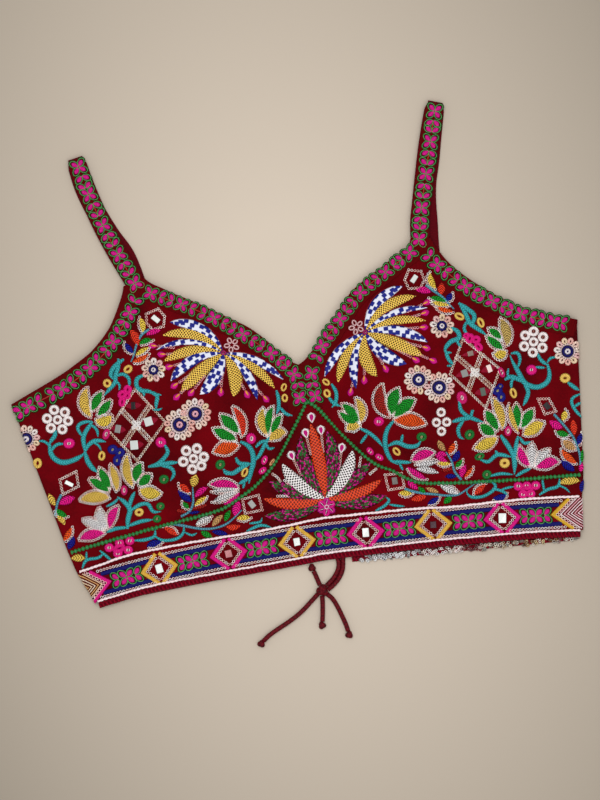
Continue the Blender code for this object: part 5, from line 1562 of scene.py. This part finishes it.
# ================================================================ the hem band's embroidery
# Open diamonds of magenta and of gold take turns along the band, each lined with sequins about a mirror.
# Flowers with two pairs stand between them, with a navy stripe and a row of sequins above and below.
BAND_MIDDLE = [(-195, 13), (-172, 16), (-134, 20), (-81, 23), (-29, 24), (23, 23), (74, 21), (126, 18),
               (187, 12.6)]
BAND_DIAMONDS = [(-134, "#e4b444"), (-81, "#dd0a84"), (-29, "#e4b444"), (23, "#dd0a84"), (74, "#e4b444"),
                 (126, "#dd0a84")]
BAND_FLOWERS = [-159, -108.5, -55.5, -3, 48.5, 100.5, 151]
DIAMOND = {"half": 14.2, "tall": 11.4, "open": 1.3, "bar": 3.3}
# The half diamonds at the sides: the x of the tip, which way they open, and the colours of their bars, with
# a row of sequins for None.
HALF_DIAMONDS = [
    (-171, -1, ["#dd0a84", None, *["#f6dcb4", "#e2b070", "#f3e0c6"] * 2, "#e2b070"]),
    (162.5, 1, ["#dcae2e", None, *["#fff0f2", "#f6b8c2", "#fbe0e4"] * 2, "#f6b8c2"]),
]
BAND_REACH = {-1: 196, 1: 190}  # how far the half diamonds go, to the left and to the right
STRIPES = (7.3, -7.0)
BEYOND = 1.39  # how much farther out than a stripe its sequins run
MITRED_STEP = 1.6
stitched_band = new_mesh()


def on_band(x, rise):
    """A point on the hem band, rise millimetres over its middle line."""
    xs, ys = zip(*BAND_MIDDLE)
    return (x, float(np.interp(x, xs, ys)) + rise)


def bent(end, middle, rise):
    """Three corners: over the band's middle line at one x, on it at another, and as far below it."""
    return [on_band(end, rise), on_band(middle, 0), on_band(end, -rise)]


def mitred(bm, corners, width, dye, crown=0.6):
    """A straight-sided band of stitches, mitred at its corners."""
    corners = [np.array(corner) for corner in corners]
    line, mitres = [], []
    for k, (a, b) in enumerate(zip(corners, corners[1:])):
        count = max(3, round(math.dist(a, b) / MITRED_STEP) + 1)
        line += [a + (b - a) * share for share in np.linspace(0, 1, count)[k > 0:]]
        mitres += [1.0] * (count - (k > 0))
        if k + 2 < len(corners):
            first, second = b - a, corners[k + 2] - b
            cosine = float(first @ second) / float(np.linalg.norm(first) * np.linalg.norm(second))
            mitres[-1] = 1 / math.sqrt((1 + cosine) / 2)
    band_of(bm, np.array(line), np.array(mitres) * width / 2, dye, crown=crown)


half, tall, gap, bar = DIAMOND.values()
for x, dye_code in BAND_DIAMONDS:
    for side in (-1, 1):
        mitred(stitched_band, bent(x + side * gap, x + side * (half - bar / 2), tall), bar, dye_code)
        lining = bent(x + side * 1.4, x + side * (half - 5.1), tall - 3.5)
        straight_row(lining, pitch=2.35, size=0.88, to="band", shades=("#fbe0da", "#fff2ee", "#f6c6bc"))
for tip, side, bars in HALF_DIAMONDS:
    for k, dye_code in enumerate(bars):
        start = tip + side * (1.7 + (0.4 + 2.6 * k if k > 1 else 3.0 * k))
        reach = min(1.0, (BAND_REACH[side] - abs(start)) / half)
        corners = bent(start + side * half * 0.95 * reach, start, tall * reach)
        if dye_code is None:
            straight_row(corners, to="band", shades=("#fbc0c4", "#ffe8e2"))
        else:
            mitred(stitched_band, corners, *((bar, dye_code, 0.6) if k == 0 else (0.85, dye_code, 0.45)))
for x in BAND_FLOWERS:
    (x0, y0), (x1, y1) = on_band(x - 1, 0), on_band(x + 1, 0)
    heading, middle = math.atan2(y1 - y0, x1 - x0), on_band(x, 0)
    flower(stitched_band, middle, heading, 1.08)
    for way in (heading + math.pi, heading):
        petal_pair(stitched_band, around(middle, way, 6.2), way, 1.02, opening=48)
tips = [row[0] for row in HALF_DIAMONDS]
ends = [tips[0], *(x for x, dye_code in BAND_DIAMONDS), tips[1]]
for a, b in zip(ends, ends[1:]):
    first, last = a + (-7.0 if a in tips else 6.4), b - (-7.0 if b in tips else 6.4)
    for rise in STRIPES:
        stripe = [on_band(x, rise) for x in np.linspace(first, last, 7)]
        ribbon(stitched_band, stripe, (3.2, 3.7, 3.7, 3.2), "#0a0a66", crown=0.25, step=2.0)
        outer = [on_band(x, rise * BEYOND) for x in np.linspace(first - 2.0, last + 2.0, 7)]
        sequin_row(outer, pitch=2.45, to="band", shades=("#ffffff", "#ffdcd6", "#fff0ec"), size=0.86)
embroider("band_stitches", stitched_band, border_stitch)


# ================================================================ the back's sewn edge
# The edge of the back's hem is thick with loose sequins and ends of silver and gold thread. It shows as
# a ragged line below the right half of the front.
EDGE_LINE = [(16, 6.4), (40, 5.4), (90, 2.4), (140, -0.4), (180, -2.6)]
EDGE_DEPTH = 4.6
# Up to each x, the shades that are found; the same shade twice is found more often.
EDGE_SHADES = [
    (62, ("#d8d9da", "#b9babd", "#f1f1f0", "#8d8a88", "#d8d9da")),
    (94, ("#f6f0ec", "#f3dcd6", "#7a1420", "#f6f0ec", "#c9bdb0")),
    (108, ("#6a0f1a", "#8a1c26", "#c9bdb0", "#5a2a22")),
    (140, ("#efe8da", "#c8b08a", "#8f8a80", "#d8cbb4", "#6a4a34")),
    (160, ("#b8904e", "#8a6230", "#d9c48e", "#6a4426", "#efe8da")),
    (170, ("#5a1a1c", "#8a6230", "#7a1420", "#a8a298")),
    (190, ("#a9a59c", "#d8d2c6", "#7d7a74", "#c8c2b6")),
]
loose, strands = new_mesh(), new_mesh()
for k in range(230):
    x = float(shade_order.uniform(16, 180))
    down = float(shade_order.uniform(0.2, EDGE_DEPTH))
    y = float(np.interp(x, *zip(*EDGE_LINE))) - down
    shades = next(row for limit, row in EDGE_SHADES if x < limit)
    shade = pick(shades)
    ring(loose, (x, y), float(shade_order.uniform(1.1, 1.5)), 0.3, shade, crown=0.4, lift=0.1 + 0.1 * (k % 5),
         corners=8)
    if k % 2:
        tip = (x + float(shade_order.uniform(-3, 3)), y - float(shade_order.uniform(0, 1.6)))
        ribbon(strands, [(x, y), tip], (0.5, 0.7, 0.3), shade, crown=0.3, lift=0.8, sides=2)


def on_back(points):
    """Laid on the face of the back's braid."""
    return in_frame(points + (0, 0, CLOTH - 0.1))


# ================================================================ the sequins
# Small cupped sequins of pink cream, in close rows, each stitched down through its hole with maroon
# thread; the ring is painted dark round the hole, for that thread and for the shadow in the hole.
pearl, tree = new_finish("pearl-coated sequin film", Roughness=0.25, Coat_Weight=0.4)
dye = add(tree, "ShaderNodeAttribute", attribute_name="dye")
marks = add(tree, "ShaderNodeUVMap", uv_map="stitch")
split = add(tree, "ShaderNodeSeparateXYZ", {0: marks})
# Painted shadow and thread: the ring goes dark round its hole.
hole = add(tree, "ShaderNodeMapRange", {"Value": split.outputs["Y"], "From Min": 0.07, "From Max": 0.17},
           interpolation_type="SMOOTHSTEP")
add(tree, "ShaderNodeMix", {"Factor": hole, 6: dye, 7: "#140206"}, "Base Color", data_type="RGBA")
for name, bm in sequins.items():
    embroider(f"sequins_{name}", bm, pearl, "sequins")
new_piece("back_edge_sequins", loose, pearl, "sequins", lay=on_back, mended=0)
new_piece("back_edge_threads", strands, border_stitch, "thread", lay=on_back, mended=0)
bpy.data.meshes.remove(carrier)
